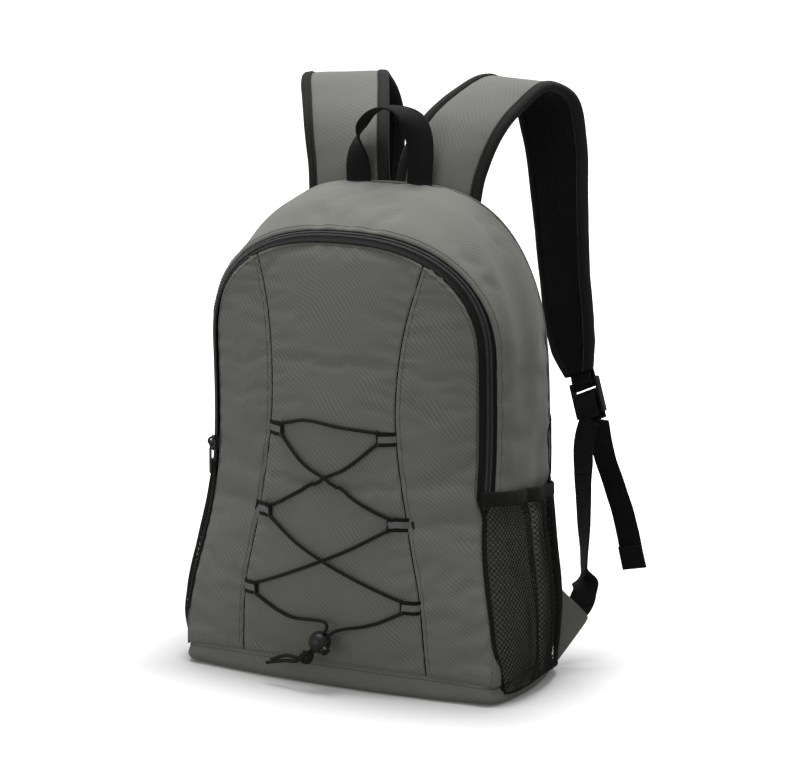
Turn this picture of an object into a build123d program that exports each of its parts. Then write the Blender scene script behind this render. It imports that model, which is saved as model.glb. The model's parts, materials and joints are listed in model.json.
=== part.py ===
"""Daypack: a soft rucksack with a zipped front, mesh side pockets, front lacing and padded shoulder straps.

Frame, in millimetres: +Z up, the origin on the floor under the middle of the base, the zipped front faces -Y
and the wearer's back is on the +Y side. The pack is symmetric about X = 0 except for the zip slider, the
cord lock and the knot. Every fabric panel is a thin closed solid; where two panels are sewn together they
meet with a small seam gap, so that no two solids overlap.
"""

import math
import os

from build123d import *

# Driving dimensions of the bag
BASE_HALF = 157.0  # half width of the base
BODY_HALF = 138.0  # half width at the zip, above the pockets
BASE_RISE = 28.0  # height of the base tray's wall
ZIP_START = 184.0  # height at which the zip begins, behind the pocket binding
SHOULDER = 300.0  # height at which the front arch begins to curve in
FRONT_TOP = 407.0  # top of the zip's centre line
BACK_HALF = 141.0  # half width of the back panel
BACK_SHOULDER = 210.0  # height at which the back arch begins to curve in
BACK_TOP = 444.0  # top seam of the back panel
FRONT_POWER = 2.4  # roundness of the front arch, as a superellipse
BACK_POWER = 2.8
BASE_FRONT = -72.0  # front and rear faces of the base tray
BASE_REAR = 71.0
CORNER = 18.0  # plan radius of the base's corners
BASE_EDGE = 6.0  # radius of its bottom edge

# Fabric and hardware
FABRIC = 1.2
LINING = 0.8
FOAM = 3.0
BOARD = 5.0
BOARD_WIDTH = 286.0
BOARD_DEPTH = 108.0
BOARD_CORNER = 12.0
SEAM = 0.3  # gap left between sewn neighbours
TAPE_HALF = 8.0  # half width of the zip with both tapes
TAPE = 0.8
COIL = 1.6
NECK_GAP = 1.6  # slot between the coil halves, in which the slider's neck runs
WEB = 25.0  # webbing width
WEB_THICK = 1.6
CORD = 1.6  # radius of the elastic cord
LACE_TAB = 14.0  # width of the ribbon loops that hold the cord

# Front panels
FLAP_HINGE_Z = 188.0
FLAP_GAP = 1.5
LACE_HEIGHTS = (84.0, 157.0, 233.0)

# Shoulder straps, right-hand side; the left one is mirrored
STRAP_FOAM = 3.6
BINDING_EDGE = 2.8  # how much of the binding shows as the strap's edge
WING_TIP = Vector(176, 98, 44)


def step(t):
    """Smooth step from 0 to 1 as t goes from 0 to 1."""
    t = min(1.0, max(0.0, t))
    return t * t * (3 - 2 * t)


def curve_through(table, z):
    """Value at height z on straight lines through a short table of (height, value)."""
    if z <= table[0][0]:
        return table[0][1]
    for (z0, v0), (z1, v1) in zip(table, table[1:]):
        if z <= z1:
            return v0 + (v1 - v0) * (z - z0) / (z1 - z0)
    return table[-1][1]


def bow(table, z):
    """Value at height z on a smooth curve through a short table of (height, value)."""
    z = min(max(z, table[0][0]), table[-1][0])
    i = max(k for k in range(len(table) - 1) if z >= table[k][0])
    (z0, v0), (z1, v1) = table[i], table[i + 1]
    before, after = table[max(i - 1, 0)], table[min(i + 2, len(table) - 1)]
    slope0 = (v1 - before[1]) / (z1 - before[0])
    slope1 = (after[1] - v0) / (after[0] - z0)
    t, span = (z - z0) / (z1 - z0), z1 - z0
    return (v0 * (1 + 2 * t) * (1 - t) ** 2 + v1 * t * t * (3 - 2 * t)
            + span * t * (1 - t) * (slope0 * (1 - t) - slope1 * t))


def front_half(z):
    """Half width of the front seam below the arch: the pack flares towards its base."""
    return BODY_HALF + (BASE_HALF - BODY_HALF) * (1 - step((z - 35) / 130))


def seam_y(z):
    """Depth of the front corner seam, which is also the zip's centre line."""
    table = [(28, -65), (100, -58), (160, -46), (184, -41), (300, -38), (360, -42), (407, -50)]
    return curve_through(table, z)


def centre_y(z):
    """Depth of the front panel on its centre line."""
    return bow([(0, -70), (28, -75), (80, -81), (190, -80), (300, -73), (410, -56)], z)


def edge_y(z):
    """Depth of the front panel at its outer edge: it starts where the zip's tape ends."""
    return seam_y(z) - TAPE_HALF * 0.775 * tape_share("side", z)


def rear_y(z):
    """Depth of the back seam."""
    return bow([(28, 69), (60, 77), (130, 84), (250, 85), (330, 78), (400, 58), (444, 42)], z)


def rear_half(z):
    """Half width of the back seam below its arch."""
    return BACK_HALF + (BASE_HALF - 2 - BACK_HALF) * (1 - step((z - 35) / 130))


SIDE_HEIGHTS = (28, 44, 60, 80, 100, 120, 140, 160, 172, ZIP_START, 210, 230, 265)
ARCH_STEPS = 12


def arch(half, low, top, power, angle):
    """Point (x, z) of a superellipse arch at an angle in degrees: 0 at the shoulder, 90 at the top."""
    c, s = math.cos(math.radians(angle)), math.sin(math.radians(angle))
    return half * max(c, 0.0) ** (2 / power), low + (top - low) * s ** (2 / power)


def arch_angle(low, top, power, z):
    """Angle at which such an arch reaches height z."""
    return math.degrees(math.asin(((z - low) / (top - low)) ** (power / 2)))


def stations(low):
    """Stations up one side: ("side", height) below the shoulder, then ("arch", share of the arch)."""
    heights = [z for z in SIDE_HEIGHTS if z > low + 1]
    return [("side", z) for z in [low] + heights] + [("arch", k / ARCH_STEPS) for k in range(ARCH_STEPS + 1)]


def front_seam(kind, value):
    """Point of the front seam on the +X side, and its outward direction in the XZ plane."""
    if kind == "side":
        return Vector(front_half(value), seam_y(value), value), Vector(1, 0, 0)
    angle = 90 * value
    x, z = arch(BODY_HALF, SHOULDER, FRONT_TOP, FRONT_POWER, angle)
    a, b = math.radians(max(angle - 1, 0)), math.radians(min(angle + 1, 90))
    x0, z0 = arch(BODY_HALF, SHOULDER, FRONT_TOP, FRONT_POWER, math.degrees(a))
    x1, z1 = arch(BODY_HALF, SHOULDER, FRONT_TOP, FRONT_POWER, math.degrees(b))
    out = Vector(z1 - z0, 0, x0 - x1).normalized()
    return Vector(x, seam_y(z), z), out


def rear_seam(kind, value):
    """Point of the back seam on the +X side at the same station."""
    if kind == "side" and value <= BACK_SHOULDER:
        return Vector(rear_half(value), rear_y(value), value)
    if kind == "side":
        angle = arch_angle(BACK_SHOULDER, BACK_TOP, BACK_POWER, value)
    else:
        start = arch_angle(BACK_SHOULDER, BACK_TOP, BACK_POWER, SHOULDER)
        angle = start + (90 - start) * value
    x, z = arch(BACK_HALF, BACK_SHOULDER, BACK_TOP, BACK_POWER, angle)
    return Vector(x, rear_y(z), z)


def tape_direction(out):
    """The zip lies on a chamfer: from the front panel outwards and backwards."""
    return (out * 0.63 + Vector(0, 0.775, 0)).normalized()


def tape_share(kind, value):
    """How much of the zip's width has opened between the panels at a station."""
    return 1.0 if kind == "arch" else step((value - 160) / (ZIP_START - 160))


def slab(p, q, normal, thick, bulge=0.0):
    """Closed section of a sheet from p to q that bulges along normal, with its outer face on that side."""
    middle = (p + q) * 0.5 + normal * bulge
    low_p, low_q, low_m = p - normal * thick, q - normal * thick, middle - normal * thick
    if bulge:
        edges = [ThreePointArc(p, middle, q), Line(q, low_q)]
        edges += [ThreePointArc(low_q, low_m, low_p), Line(low_p, p)]
    else:
        edges = [Line(p, q), Line(q, low_q), Line(low_q, low_p), Line(low_p, p)]
    return Wire(edges)


def loft_sections(wires):
    """Closed solid through a row of sections, straight from each to the next."""
    return Solid.make_loft(wires, True)


def ribbon(points, across, normals, widths, thick, lift=0.0):
    """Band along a path: sections widths wide along across, and thick deep from lift down the normal."""
    wires = []
    for p, a, n, w in zip(points, across, normals, widths):
        top = p + n * lift
        wires.append(slab(top - a * (w / 2), top + a * (w / 2), n, thick))
    return loft_sections(wires)


def path_frames(points, across):
    """Unit across vectors made square to the path, and the matching normals."""
    frames = []
    for i, p in enumerate(points):
        ahead = points[min(i + 1, len(points) - 1)] - points[max(i - 1, 0)]
        tangent = ahead.normalized()
        a = across[i] - tangent * across[i].dot(tangent)
        a = a.normalized()
        frames.append((a, tangent.cross(a).normalized()))
    return [f[0] for f in frames], [f[1] for f in frames]


def spline_points(points, count):
    """Evenly spaced points along a smooth curve through the given ones."""
    wire = Spline(*points)
    return [wire.position_at(k / (count - 1)) for k in range(count)]


def blend_vectors(vectors, count):
    """Directions spread evenly over a row of count stations."""
    out = []
    for k in range(count):
        t = k / (count - 1) * (len(vectors) - 1)
        i = min(int(t), len(vectors) - 2)
        out.append((vectors[i] * (1 - t + i) + vectors[i + 1] * (t - i)).normalized())
    return out


def blend_values(values, count):
    """Numbers spread evenly over a row of count stations."""
    out = []
    for k in range(count):
        t = k / (count - 1) * (len(values) - 1)
        i = min(int(t), len(values) - 2)
        out.append(values[i] * (1 - t + i) + values[i + 1] * (t - i))
    return out


def cord_along(points, radius=CORD):
    """Round cord along a smooth curve."""
    path = Spline(*points)
    disc = Plane(origin=path @ 0, z_dir=path % 0) * Circle(radius)
    return sweep(disc, path=path)


def save(name, shape):
    """Writes one node's STEP file from one or more closed solids."""
    solids = [s for part in (shape if isinstance(shape, list) else [shape]) for s in part.solids()]
    export_step(Compound(children=solids) if len(solids) > 1 else solids[0], f"parts/{name}.step")


def flip(shape):
    """Mirror image on the other side of X = 0."""
    return shape.mirror(Plane.YZ)


# ---------------------------------------------------------------- bag: base, gusset and back


def base_panel():
    """Shallow tray: the floor of the bag with its wall turned up all round."""
    depth = BASE_REAR - BASE_FRONT
    middle = Pos(0, (BASE_FRONT + BASE_REAR) / 2, 0)
    outline = middle * RectangleRounded(2 * BASE_HALF - 4, depth, CORNER)
    block = extrude(outline, BASE_RISE - SEAM)
    block = fillet(block.edges().group_by(Axis.Z)[0], BASE_EDGE)
    inside = middle * RectangleRounded(2 * BASE_HALF - 4 - 2 * FABRIC, depth - 2 * FABRIC, CORNER - FABRIC)
    hollow = extrude(inside, BASE_RISE)
    hollow = fillet(hollow.edges().group_by(Axis.Z)[0], BASE_EDGE - FABRIC)
    return block - Pos(0, 0, FABRIC) * hollow


def base_board():
    """Stiffening board that lies loose on the floor of the bag."""
    middle = Pos(0, (BASE_FRONT + BASE_REAR) / 2, FABRIC + SEAM)
    outline = middle * RectangleRounded(BOARD_WIDTH, BOARD_DEPTH, BOARD_CORNER)
    return extrude(outline, BOARD)


GUSSET_BULGE = 4.0


def gusset_edges(kind, value):
    """Front and rear edges of the gusset on the +X side at a station, and its outward direction."""
    p, out = front_seam(kind, value)
    share = tape_share(kind, value)
    p = p + tape_direction(out) * ((TAPE_HALF + 1.0) * share + SEAM)
    q = rear_seam(kind, value) - Vector(0, FABRIC + 1, 0)
    return p, q, out


def gusset():
    """One long panel up the side, over the top and down the other side, from zip to back seam."""
    sides = []
    for kind, value in stations(BASE_RISE):
        p, q, out = gusset_edges(kind, value)
        along = (q - p).normalized()
        normal = (out - along * out.dot(along)).normalized()
        bulge = GUSSET_BULGE + 6 * (value if kind == "arch" else 0)
        sides.append((p, q, normal, bulge))
    row = sides + [(Vector(-p.X, p.Y, p.Z), Vector(-q.X, q.Y, q.Z), Vector(-n.X, n.Y, n.Z), b)
                   for p, q, n, b in reversed(sides[:-1])]
    return loft_sections([slab(p, q, n, FABRIC, b) for p, q, n, b in row])


def back_outline(inset, low):
    """Closed outline of the back panel in the XZ plane, as a face to extrude."""
    centre = Vector(0, 0, BACK_SHOULDER)
    side = []
    for kind, value in stations(low):
        p = rear_seam(kind, value)
        flat = Vector(p.X, 0, p.Z)
        out = (flat - centre).normalized() if p.Z > BACK_SHOULDER else Vector(1, 0, 0)
        side.append(flat - out * inset)
    side[-1] = Vector(0, 0, BACK_TOP - inset)
    loop = side + [Vector(-p.X, 0, p.Z) for p in reversed(side[:-1])]
    return make_face(Wire(Polyline(*loop, close=True)))


def back_layer(lift, thick, inset, low):
    """One layer of the back panel: a curved sheet cut to the back outline."""
    wires = []
    for z in (low - 4, 44, 60, 80, 100, 130, 170, 210, 250, 285, 315, 340, 365, 385, 405, 425, BACK_TOP + 6):
        y = rear_y(z) + lift
        p, q = Vector(-170, y, z), Vector(170, y, z)
        wires.append(slab(p, q, Vector(0, 1, 0), thick))
    sheet = loft_sections(wires)
    prism = extrude(back_outline(inset, low), 400, both=True)
    return sheet & prism


# ---------------------------------------------------------------- front panels


def seam_x(z):
    """Half distance between the two curved seams of the front."""
    return curve_through([(0, 94), (90, 90), (262, 60), (404, 86)], z)


def crown_half(z):
    """Half width at which the crown has fallen back to the panel's edge."""
    return front_half(z) - TAPE_HALF * 0.63 * tape_share("side", z)


def front_y(x, z):
    """Depth of the crowned front."""
    return centre_y(z) + (edge_y(z) - centre_y(z)) * (x / crown_half(z)) ** 2


def front_section(x0, x1, z):
    """Section of the front at one height between two widths."""
    middle = (x0 + x1) / 2
    p, m, q = (Vector(x, front_y(x, z), z) for x in (x0, middle, x1))
    back = Vector(0, FABRIC, 0)
    edges = [ThreePointArc(p, m, q), Line(q, q + back)]
    edges += [ThreePointArc(q + back, m + back, p + back), Line(p + back, p)]
    return Wire(edges)


def front_strip(low, high, left, right):
    """Part of the front between two heights; left and right give the half widths at a height."""
    count = max(4, round((high - low) / 18))
    heights = [low + (high - low) * k / count for k in range(count + 1)]
    return loft_sections([front_section(left(z), right(z), z) for z in heights])


def arch_face(inset, low):
    """Front arch outline, inset from the zip's centre line, as a face in the XZ plane."""
    side = [Vector(BODY_HALF - inset, 0, low)]
    for k in range(ARCH_STEPS + 1):
        x, z = arch(BODY_HALF - inset, SHOULDER, FRONT_TOP - inset, FRONT_POWER, 90 * k / ARCH_STEPS)
        side.append(Vector(x, 0, z))
    loop = side + [Vector(-p.X, 0, p.Z) for p in reversed(side[:-1])]
    return make_face(Wire(Polyline(*loop, close=True)))


def front_low_edge(z):
    """Outer half width of the lower front panels."""
    return front_half(z) - FABRIC - 2 * SEAM - (TAPE_HALF * 0.63 + 0.5) * tape_share("side", z)


def lower_front():
    """The sewn part of the front, between the base tray and the foot of the zip."""
    low, high = BASE_RISE, FLAP_HINGE_Z - FLAP_GAP
    centre = front_strip(low, high, lambda z: -seam_x(z) + SEAM, lambda z: seam_x(z) - SEAM)
    right = front_strip(low, high, seam_x, front_low_edge)
    return centre, right, flip(right)


def flap():
    """The part of the front that falls open when the zip is undone."""
    low, high = FLAP_HINGE_Z, FRONT_TOP - 2
    window = extrude(arch_face(TAPE_HALF * 0.63 + 5 * SEAM, low - 5), 400, both=True)
    centre = front_strip(low, high, lambda z: -seam_x(z) + SEAM, lambda z: seam_x(z) - SEAM) & window
    right = front_strip(low, high, seam_x, lambda z: BODY_HALF) & window
    return centre, right, flip(right)


# ---------------------------------------------------------------- zip


def zip_band(low, inner, outer, thick, lift=0.0):
    """Strip of the zip over the arch, between two distances from its centre line."""
    sides = []
    for kind, value in stations(low):
        p, out = front_seam(kind, value)
        d = tape_direction(out)
        normal = (out * 0.775 - Vector(0, 0.63, 0)).normalized()
        sides.append((p + d * inner + normal * lift, p + d * outer + normal * lift, normal))
    row = sides + [(Vector(-p.X, p.Y, p.Z), Vector(-q.X, q.Y, q.Z), Vector(-n.X, n.Y, n.Z))
                   for p, q, n in reversed(sides[:-1])]
    return loft_sections([slab(p, q, n, thick) for p, q, n in row])


def zip_foot(inner, outer, thick, lift=0.0):
    """Short straight pieces of zip on both sides that stay with the bag below the flap's tape."""
    wires = []
    for z in (ZIP_START, ZIP_FOOT_TOP - 1):
        p, out = front_seam("side", z)
        d = tape_direction(out)
        normal = (out * 0.775 - Vector(0, 0.63, 0)).normalized()
        wires.append(slab(p + d * inner + normal * lift, p + d * outer + normal * lift, normal, thick))
    right = loft_sections(wires)
    return [right, flip(right)]


ZIP_FOOT_TOP = 230.0  # the flap's tape begins here, above the parked slider
SLIDER_Z = 205.0


def slider_frame():
    """Plane at the parked slider on the left: x across the zip, y along it, z outwards."""
    low, out = front_seam("side", SLIDER_Z)
    high, _ = front_seam("side", SHOULDER - 5)
    along = (high - low).normalized()
    d = tape_direction(out)
    mirror = lambda v: Vector(-v.X, v.Y, v.Z)
    along, across = mirror(along), mirror(d)
    across = (across - along * across.dot(along)).normalized()
    normal = across.cross(along)
    if normal.Y > 0:
        normal = normal * -1
        across = across * -1
    return Plane(origin=mirror(low), x_dir=across, z_dir=normal)


PLATE_FRONT = 2.1  # height of the slider's front plate over the tape
PLATE_BACK = -2.4
BAIL_RADIUS = 4.2


def zip_slider(frame):
    """Front and back plate joined by a thin neck between the coils, with a bail for the puller."""
    shape = SlotOverall(15, 9.5, rotation=90)
    front = Pos(0, 0, PLATE_FRONT) * extrude(shape, 1.4)
    front = fillet(front.edges().group_by(Axis.Z)[-1], 0.6)
    back = Pos(0, 0, PLATE_BACK) * extrude(shape, 1.2)
    neck = Pos(0, 4.4, 0.6) * Box(0.9, 5.0, 5.0)
    bail = Rot(0, 90, 0) * (Cylinder(BAIL_RADIUS, 2.6) - Cylinder(2.6, 2.6))
    bail = bail & Pos(0, 0, 4) * Box(10, 12, 8)
    return frame * (front + back + neck + Pos(0, 1.5, PLATE_FRONT + 1.3) * bail)


PULLER_RING = 3.6
PULLER_PIVOT = Vector(0, 2.2, 4.9)  # top of the ring, inside the bail, in the slider's axes


def zip_puller(frame):
    """Ring through the slider's bail and the flat tab that hangs from it."""
    ring = Torus(PULLER_RING, 0.7)
    tab = extrude(SlotOverall(24, 7, rotation=90), 1.6) - Pos(0, 8.6, 0) * extrude(Circle(1.5), 1.6)
    hang = Pos(0, -15.2, -0.8) * tab
    return frame * Pos(PULLER_PIVOT.X, PULLER_PIVOT.Y - PULLER_RING, PULLER_PIVOT.Z) * (ring + hang)


# ---------------------------------------------------------------- pockets


def pocket_section(z_front, z_rear, lift, bulge, thick):
    """Flat section of the pocket over the gusset, from a height at the front seam to one at the rear."""
    p = gusset_edges("side", z_front)[0]
    q = gusset_edges("side", z_rear)[1]
    p, q = p * 0.97 + q * 0.03, p * 0.03 + q * 0.97
    out = Vector(1, 0, 0)
    p, q = p + out * lift, q + out * lift
    return slab(p, q, out, thick, bulge)


POCKET_FOOT = 31.0


def pocket_mesh():
    """Mesh pocket: stands off the gusset between its sewn edges and gathers in at the mouth."""
    wires = []
    for k in range(11):
        t = k / 10
        z_front = POCKET_FOOT + (172 - POCKET_FOOT) * t
        z_rear = POCKET_FOOT + (158 - POCKET_FOOT) * t
        stand = 9 + 12 * math.sin(math.pi * min(1.0, 0.12 + 0.62 * t))
        wires.append(pocket_section(z_front, z_rear, 2.4, GUSSET_BULGE + stand, 0.9))
    return loft_sections(wires)


def pocket_binding():
    """Elastic binding round the pocket's mouth, standing a little off the gusset."""
    low = pocket_section(173, 159, 3.0, GUSSET_BULGE + 13, 2.0)
    top = pocket_section(184, 170, 3.0, GUSSET_BULGE + 11, 2.0)
    return loft_sections([low, top])


# ---------------------------------------------------------------- straps, right-hand side

STRAP_PATH = [Vector(49, 54, 462), Vector(58, 68, 490), Vector(73, 94, 516), Vector(90, 124, 531),
              Vector(102, 152, 517), Vector(108, 165, 478), Vector(113, 167, 420), Vector(122, 164, 345),
              Vector(135, 157, 290), Vector(145, 151, 262)]
STRAP_ACROSS = [Vector(1, 0.02, -0.16), Vector(1, -0.12, -0.1), Vector(1, -0.24, -0.05), Vector(1, -0.30, 0),
                Vector(1, -0.40, 0), Vector(1, -0.50, 0), Vector(1, -0.55, 0), Vector(1, -0.55, 0.05),
                Vector(1, -0.45, 0.12), Vector(1, -0.35, 0.15)]
STRAP_WIDTHS = [84, 84, 84, 84, 84, 84, 83, 76, 62, 34]
STRAP_STATIONS = 26


def strap_frames():
    """Centre line, across and normal vectors and widths of the padded strap. Normals face the outer side."""
    pts = spline_points(STRAP_PATH, STRAP_STATIONS)
    across = blend_vectors(STRAP_ACROSS, STRAP_STATIONS)
    widths = blend_values(STRAP_WIDTHS, STRAP_STATIONS)
    across, normals = path_frames(pts, across)
    if normals[0].Y > 0:
        normals = [n * -1 for n in normals]
    return pts, across, normals, widths


def strap_parts():
    """Grey face, foam, dark lining and the binding along both edges."""
    pts, across, normals, widths = strap_frames()
    half = (STRAP_FOAM + 2 * LINING) / 2
    core = [w - 2 * BINDING_EDGE - 1 for w in widths]
    face = ribbon(pts, across, normals, core, LINING, half)
    foam = ribbon(pts, across, normals, core, STRAP_FOAM - 2 * SEAM, half - LINING - SEAM)
    lining = ribbon(pts, across, normals, core, LINING, -half + LINING)
    sides = []
    for side in (-1, 1):
        edge = [p + a * side * (w - BINDING_EDGE) / 2 for p, a, w in zip(pts, across, widths)]
        sides.append(ribbon(edge, across, normals, [BINDING_EDGE] * len(pts), 2 * half + 1, half + 0.5))
    return {"face": face, "foam": foam, "lining": lining, "binding": sides}


def strap_anchor():
    """The strap's root, sewn along the sloping top seam of the back panel: it stays with the bag."""
    rows = [(Vector(5, 48.4, 446), Vector(86, 50.6, 424)), (Vector(6, 49.6, 453), Vector(87, 51.8, 431))]
    normal = Vector(0, -1, 0.25).normalized()
    return loft_sections([slab(p, q, normal, 2.4) for p, q in rows])


def lock_frame():
    """Plane of the ladder lock at the strap's tip: x along its bars, y down the strap, z outwards."""
    pts, across, normals, _ = strap_frames()
    down = (pts[-1] - pts[-2]).normalized()
    bar = (across[-1] - down * across[-1].dot(down)).normalized()
    normal = bar.cross(down)
    return Plane(origin=pts[-1] + down * 12, x_dir=bar, z_dir=normal)


def lock_loop(frame):
    """Short webbing that holds the ladder lock to the strap: wraps its upper bar."""
    wrap = Rot(0, 90, 0) * (Cylinder(4.0, WEB) - Cylinder(2.6, WEB))
    wrap = wrap - Pos(0, -5, 0) * Box(WEB + 2, 10, 5.0)
    front = Pos(0, -5.5, 3.3) * Box(WEB, 11, 1.4)
    back = Pos(0, -5.5, -3.3) * Box(WEB, 11, 1.4)
    return frame * (wrap + front + back)


def ladder_lock(frame):
    """Moulded ladder lock: two curved side rails joined by three bars."""
    rails = []
    for side in (-1, 1):
        rail = Pos(side * (WEB / 2 + 3.6), 12, 0) * Box(4.0, 34, 5.6)
        rails.append(fillet(rail.edges(), 1.4))
    bars = Rot(0, 90, 0) * Cylinder(2.2, WEB + 8)
    bars = bars + Pos(0, 12, 1.0) * Box(WEB + 8, 4.2, 3.2) + Pos(0, 25, 0) * Box(WEB + 8, 5.0, 3.6)
    return frame * (bars + rails[0] + rails[1])


def web_wrap(frame):
    """Webbing where it passes through the lock: up the lower slot, over the middle bar and back out."""
    path = [Vector(0, 31, -4.2), Vector(0, 22, -4.2), Vector(0, 12, -3.0), Vector(0, 5.8, 0.6),
            Vector(0, 9, 4.6), Vector(0, 16, 5.2), Vector(0, 24, 4.8), Vector(0, 33, 5.2)]
    pts = spline_points(path, 20)
    across, normals = path_frames(pts, [Vector(1, 0, 0)] * len(pts))
    return frame * ribbon(pts, across, normals, [WEB] * len(pts), 1.2, 0.6)


def local(frame, v):
    """A point given in a plane's own axes, in the row frame."""
    return frame.from_local_coords(v)


WING_TOP = Vector(155, 81.5, 74)
WING_LOW = Vector(157, 75, 14)
WING_NORMAL = (WING_LOW - WING_TOP).cross(WING_TIP - WING_TOP).normalized()
WING_WEB_START = Vector(165, 84, 34) + WING_NORMAL * 2.4
WING_WEB_END = Vector(169, 93.5, 56) + WING_NORMAL * 2.4


def wing_web_direction():
    """Direction in which the webbing leaves the wing."""
    return (WING_WEB_END - WING_WEB_START).normalized()


def adjuster_web(frame):
    """Long lower webbing from the wing up to the lock; it turns on its way."""
    rise = wing_web_direction()
    foot = WING_WEB_END + rise * 5
    top = local(frame, Vector(0, 36, -4.2))
    path = [foot, foot + rise * 34, foot * 0.4 + top * 0.6 + Vector(4, 4, 0), top]
    pts = spline_points(path, 18)
    bar = frame.x_dir
    flat = rise.cross(WING_NORMAL)
    flat = flat if flat.dot(bar) > 0 else flat * -1
    across = blend_vectors([flat, flat, (flat + bar).normalized(), bar], 18)
    across, normals = path_frames(pts, across)
    return ribbon(pts, across, normals, [WEB] * 18, WEB_THICK, WEB_THICK / 2)


def web_tail(frame):
    """Loose end of the webbing, hemmed, that hangs out behind the lock."""
    top = local(frame, Vector(0, 38, 5.2))
    path = [top, Vector(164, 161, 185), Vector(180, 166, 135), Vector(194, 169, 76)]
    pts = spline_points(path, 12)
    bar = frame.x_dir
    across = blend_vectors([bar, Vector(0.95, -0.2, 0.25), Vector(0.95, -0.1, 0.25)], 12)
    across, normals = path_frames(pts, across)
    band = ribbon(pts, across, normals, [WEB] * 12, WEB_THICK, WEB_THICK / 2)
    end, last = pts[-1], (pts[-1] - pts[-2]).normalized()
    hem_path = [end - last * 11, end - last * 0.2]
    hem = ribbon(hem_path, [across[-1]] * 2, [normals[-1]] * 2, [WEB] * 2, WEB_THICK, WEB_THICK * 1.5)
    return band + hem


def wing():
    """Triangle of doubled fabric sewn into the back seam, which holds the lower end of the webbing."""
    outline = Wire(Polyline(WING_TOP, WING_LOW, WING_TIP, close=True))
    return extrude(make_face(outline), 1.1, dir=tuple(WING_NORMAL), both=True)


def wing_web():
    """End of the webbing, sewn to the wing's outer face."""
    rise = wing_web_direction()
    flat = rise.cross(WING_NORMAL).normalized()
    normal = flat.cross(rise)
    ends = [WING_WEB_START, WING_WEB_END]
    return ribbon(ends, [flat] * 2, [normal] * 2, [WEB] * 2, WEB_THICK, WEB_THICK / 2)


# ---------------------------------------------------------------- handle

HANDLE_PIVOT = Vector(0, 41, 447)


def handle():
    """Webbing grab loop: flat in the seam at its feet, turned edge-on at the top."""
    half, rise, count = 31.0, 64.0, 25
    pts, across = [], []
    for k in range(count):
        turn = math.pi * k / (count - 1)
        swell = 1 + 0.28 * math.sin(turn)
        x, z = -half * math.cos(turn) * swell, rise * math.sin(turn) ** 0.8
        pts.append(Vector(x, 40, HANDLE_PIVOT.Z + 1.5 + z))
        twist = math.pi / 2 * step(min(turn, math.pi - turn) / (0.5 * math.pi))
        lean = -1 if turn < math.pi / 2 else 1
        across.append(Vector(math.cos(twist), math.sin(twist) * lean, 0))
    return handle_band(pts, across)


def handle_band(pts, across):
    """Lofts each half of the handle so that the width direction never jumps at the top."""
    count = len(pts)
    middle = count // 2
    solids = []
    for part, sign in ((range(0, middle + 1), -1), (range(middle, count), 1)):
        rows = [pts[i] for i in part]
        sides = [across[i] if i != middle else Vector(0, sign, 0) for i in part]
        ahead = [pts[min(i + 1, count - 1)] - pts[max(i - 1, 0)] for i in part]
        wires = []
        for p, a, t in zip(rows, sides, ahead):
            t = t.normalized()
            a = (a - t * a.dot(t)).normalized()
            n = t.cross(a)
            wires.append(slab(p - a * (WEB / 2) + n * 0.8, p + a * (WEB / 2) + n * 0.8, n, WEB_THICK))
        solids.append(loft_sections(wires))
    return solids[0] + solids[1]


# ---------------------------------------------------------------- lacing on the front

TAB_REACH = 19.0  # how far a ribbon loop stands in from its seam
CORD_LIFT = 4.2  # height of the cord's centre over the panel


def tab_x(z):
    """Half distance between the ends of a pair of ribbon loops, where the cord turns."""
    return seam_x(z) - TAB_REACH


def lace_tab(z):
    """Ribbon loop lying on the front, from the curved seam towards the middle, on the +X side."""
    outer, inner = seam_x(z) - 1, tab_x(z)
    wires = []
    for x, lift in ((inner, 1.7), (inner + 6, 1.6), (outer, 1.5)):
        y = front_y(x, z) - lift
        low, high = Vector(x, y, z - LACE_TAB / 2), Vector(x, y, z + LACE_TAB / 2)
        wires.append(slab(low, high, Vector(0, -1, 0), 0.5))
    return loft_sections(wires)


def cord_point(x, z, lift=CORD_LIFT):
    """Point just in front of the panel."""
    return Vector(x, front_y(x, z) - lift, z)


def crossing(side, low_z, high_z, lift):
    """Cord from the lower edge of a loop at high_z across to the upper edge of the facing loop at low_z."""
    start = Vector(side * (tab_x(high_z) - 2.6), 0, high_z - LACE_TAB / 2 + 1)
    end = Vector(-side * (tab_x(low_z) - 2.6), 0, low_z + LACE_TAB / 2 - 1)
    count = 6
    pts = []
    for k in range(count + 1):
        t = k / count
        x, z = start.X + (end.X - start.X) * t, start.Z + (end.Z - start.Z) * t
        rise = lift * math.sin(math.pi * t) ** 2
        pts.append(cord_point(x, z, CORD_LIFT + rise))
    return pts


def turn_at_tab(side, z):
    """Short upright piece of cord where it passes round a ribbon loop's end."""
    x = side * (tab_x(z) - 2.8)
    inset = LACE_TAB / 2 - 1.4
    return cord_along([cord_point(x, z + inset), cord_point(x, z), cord_point(x, z - inset)])


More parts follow.
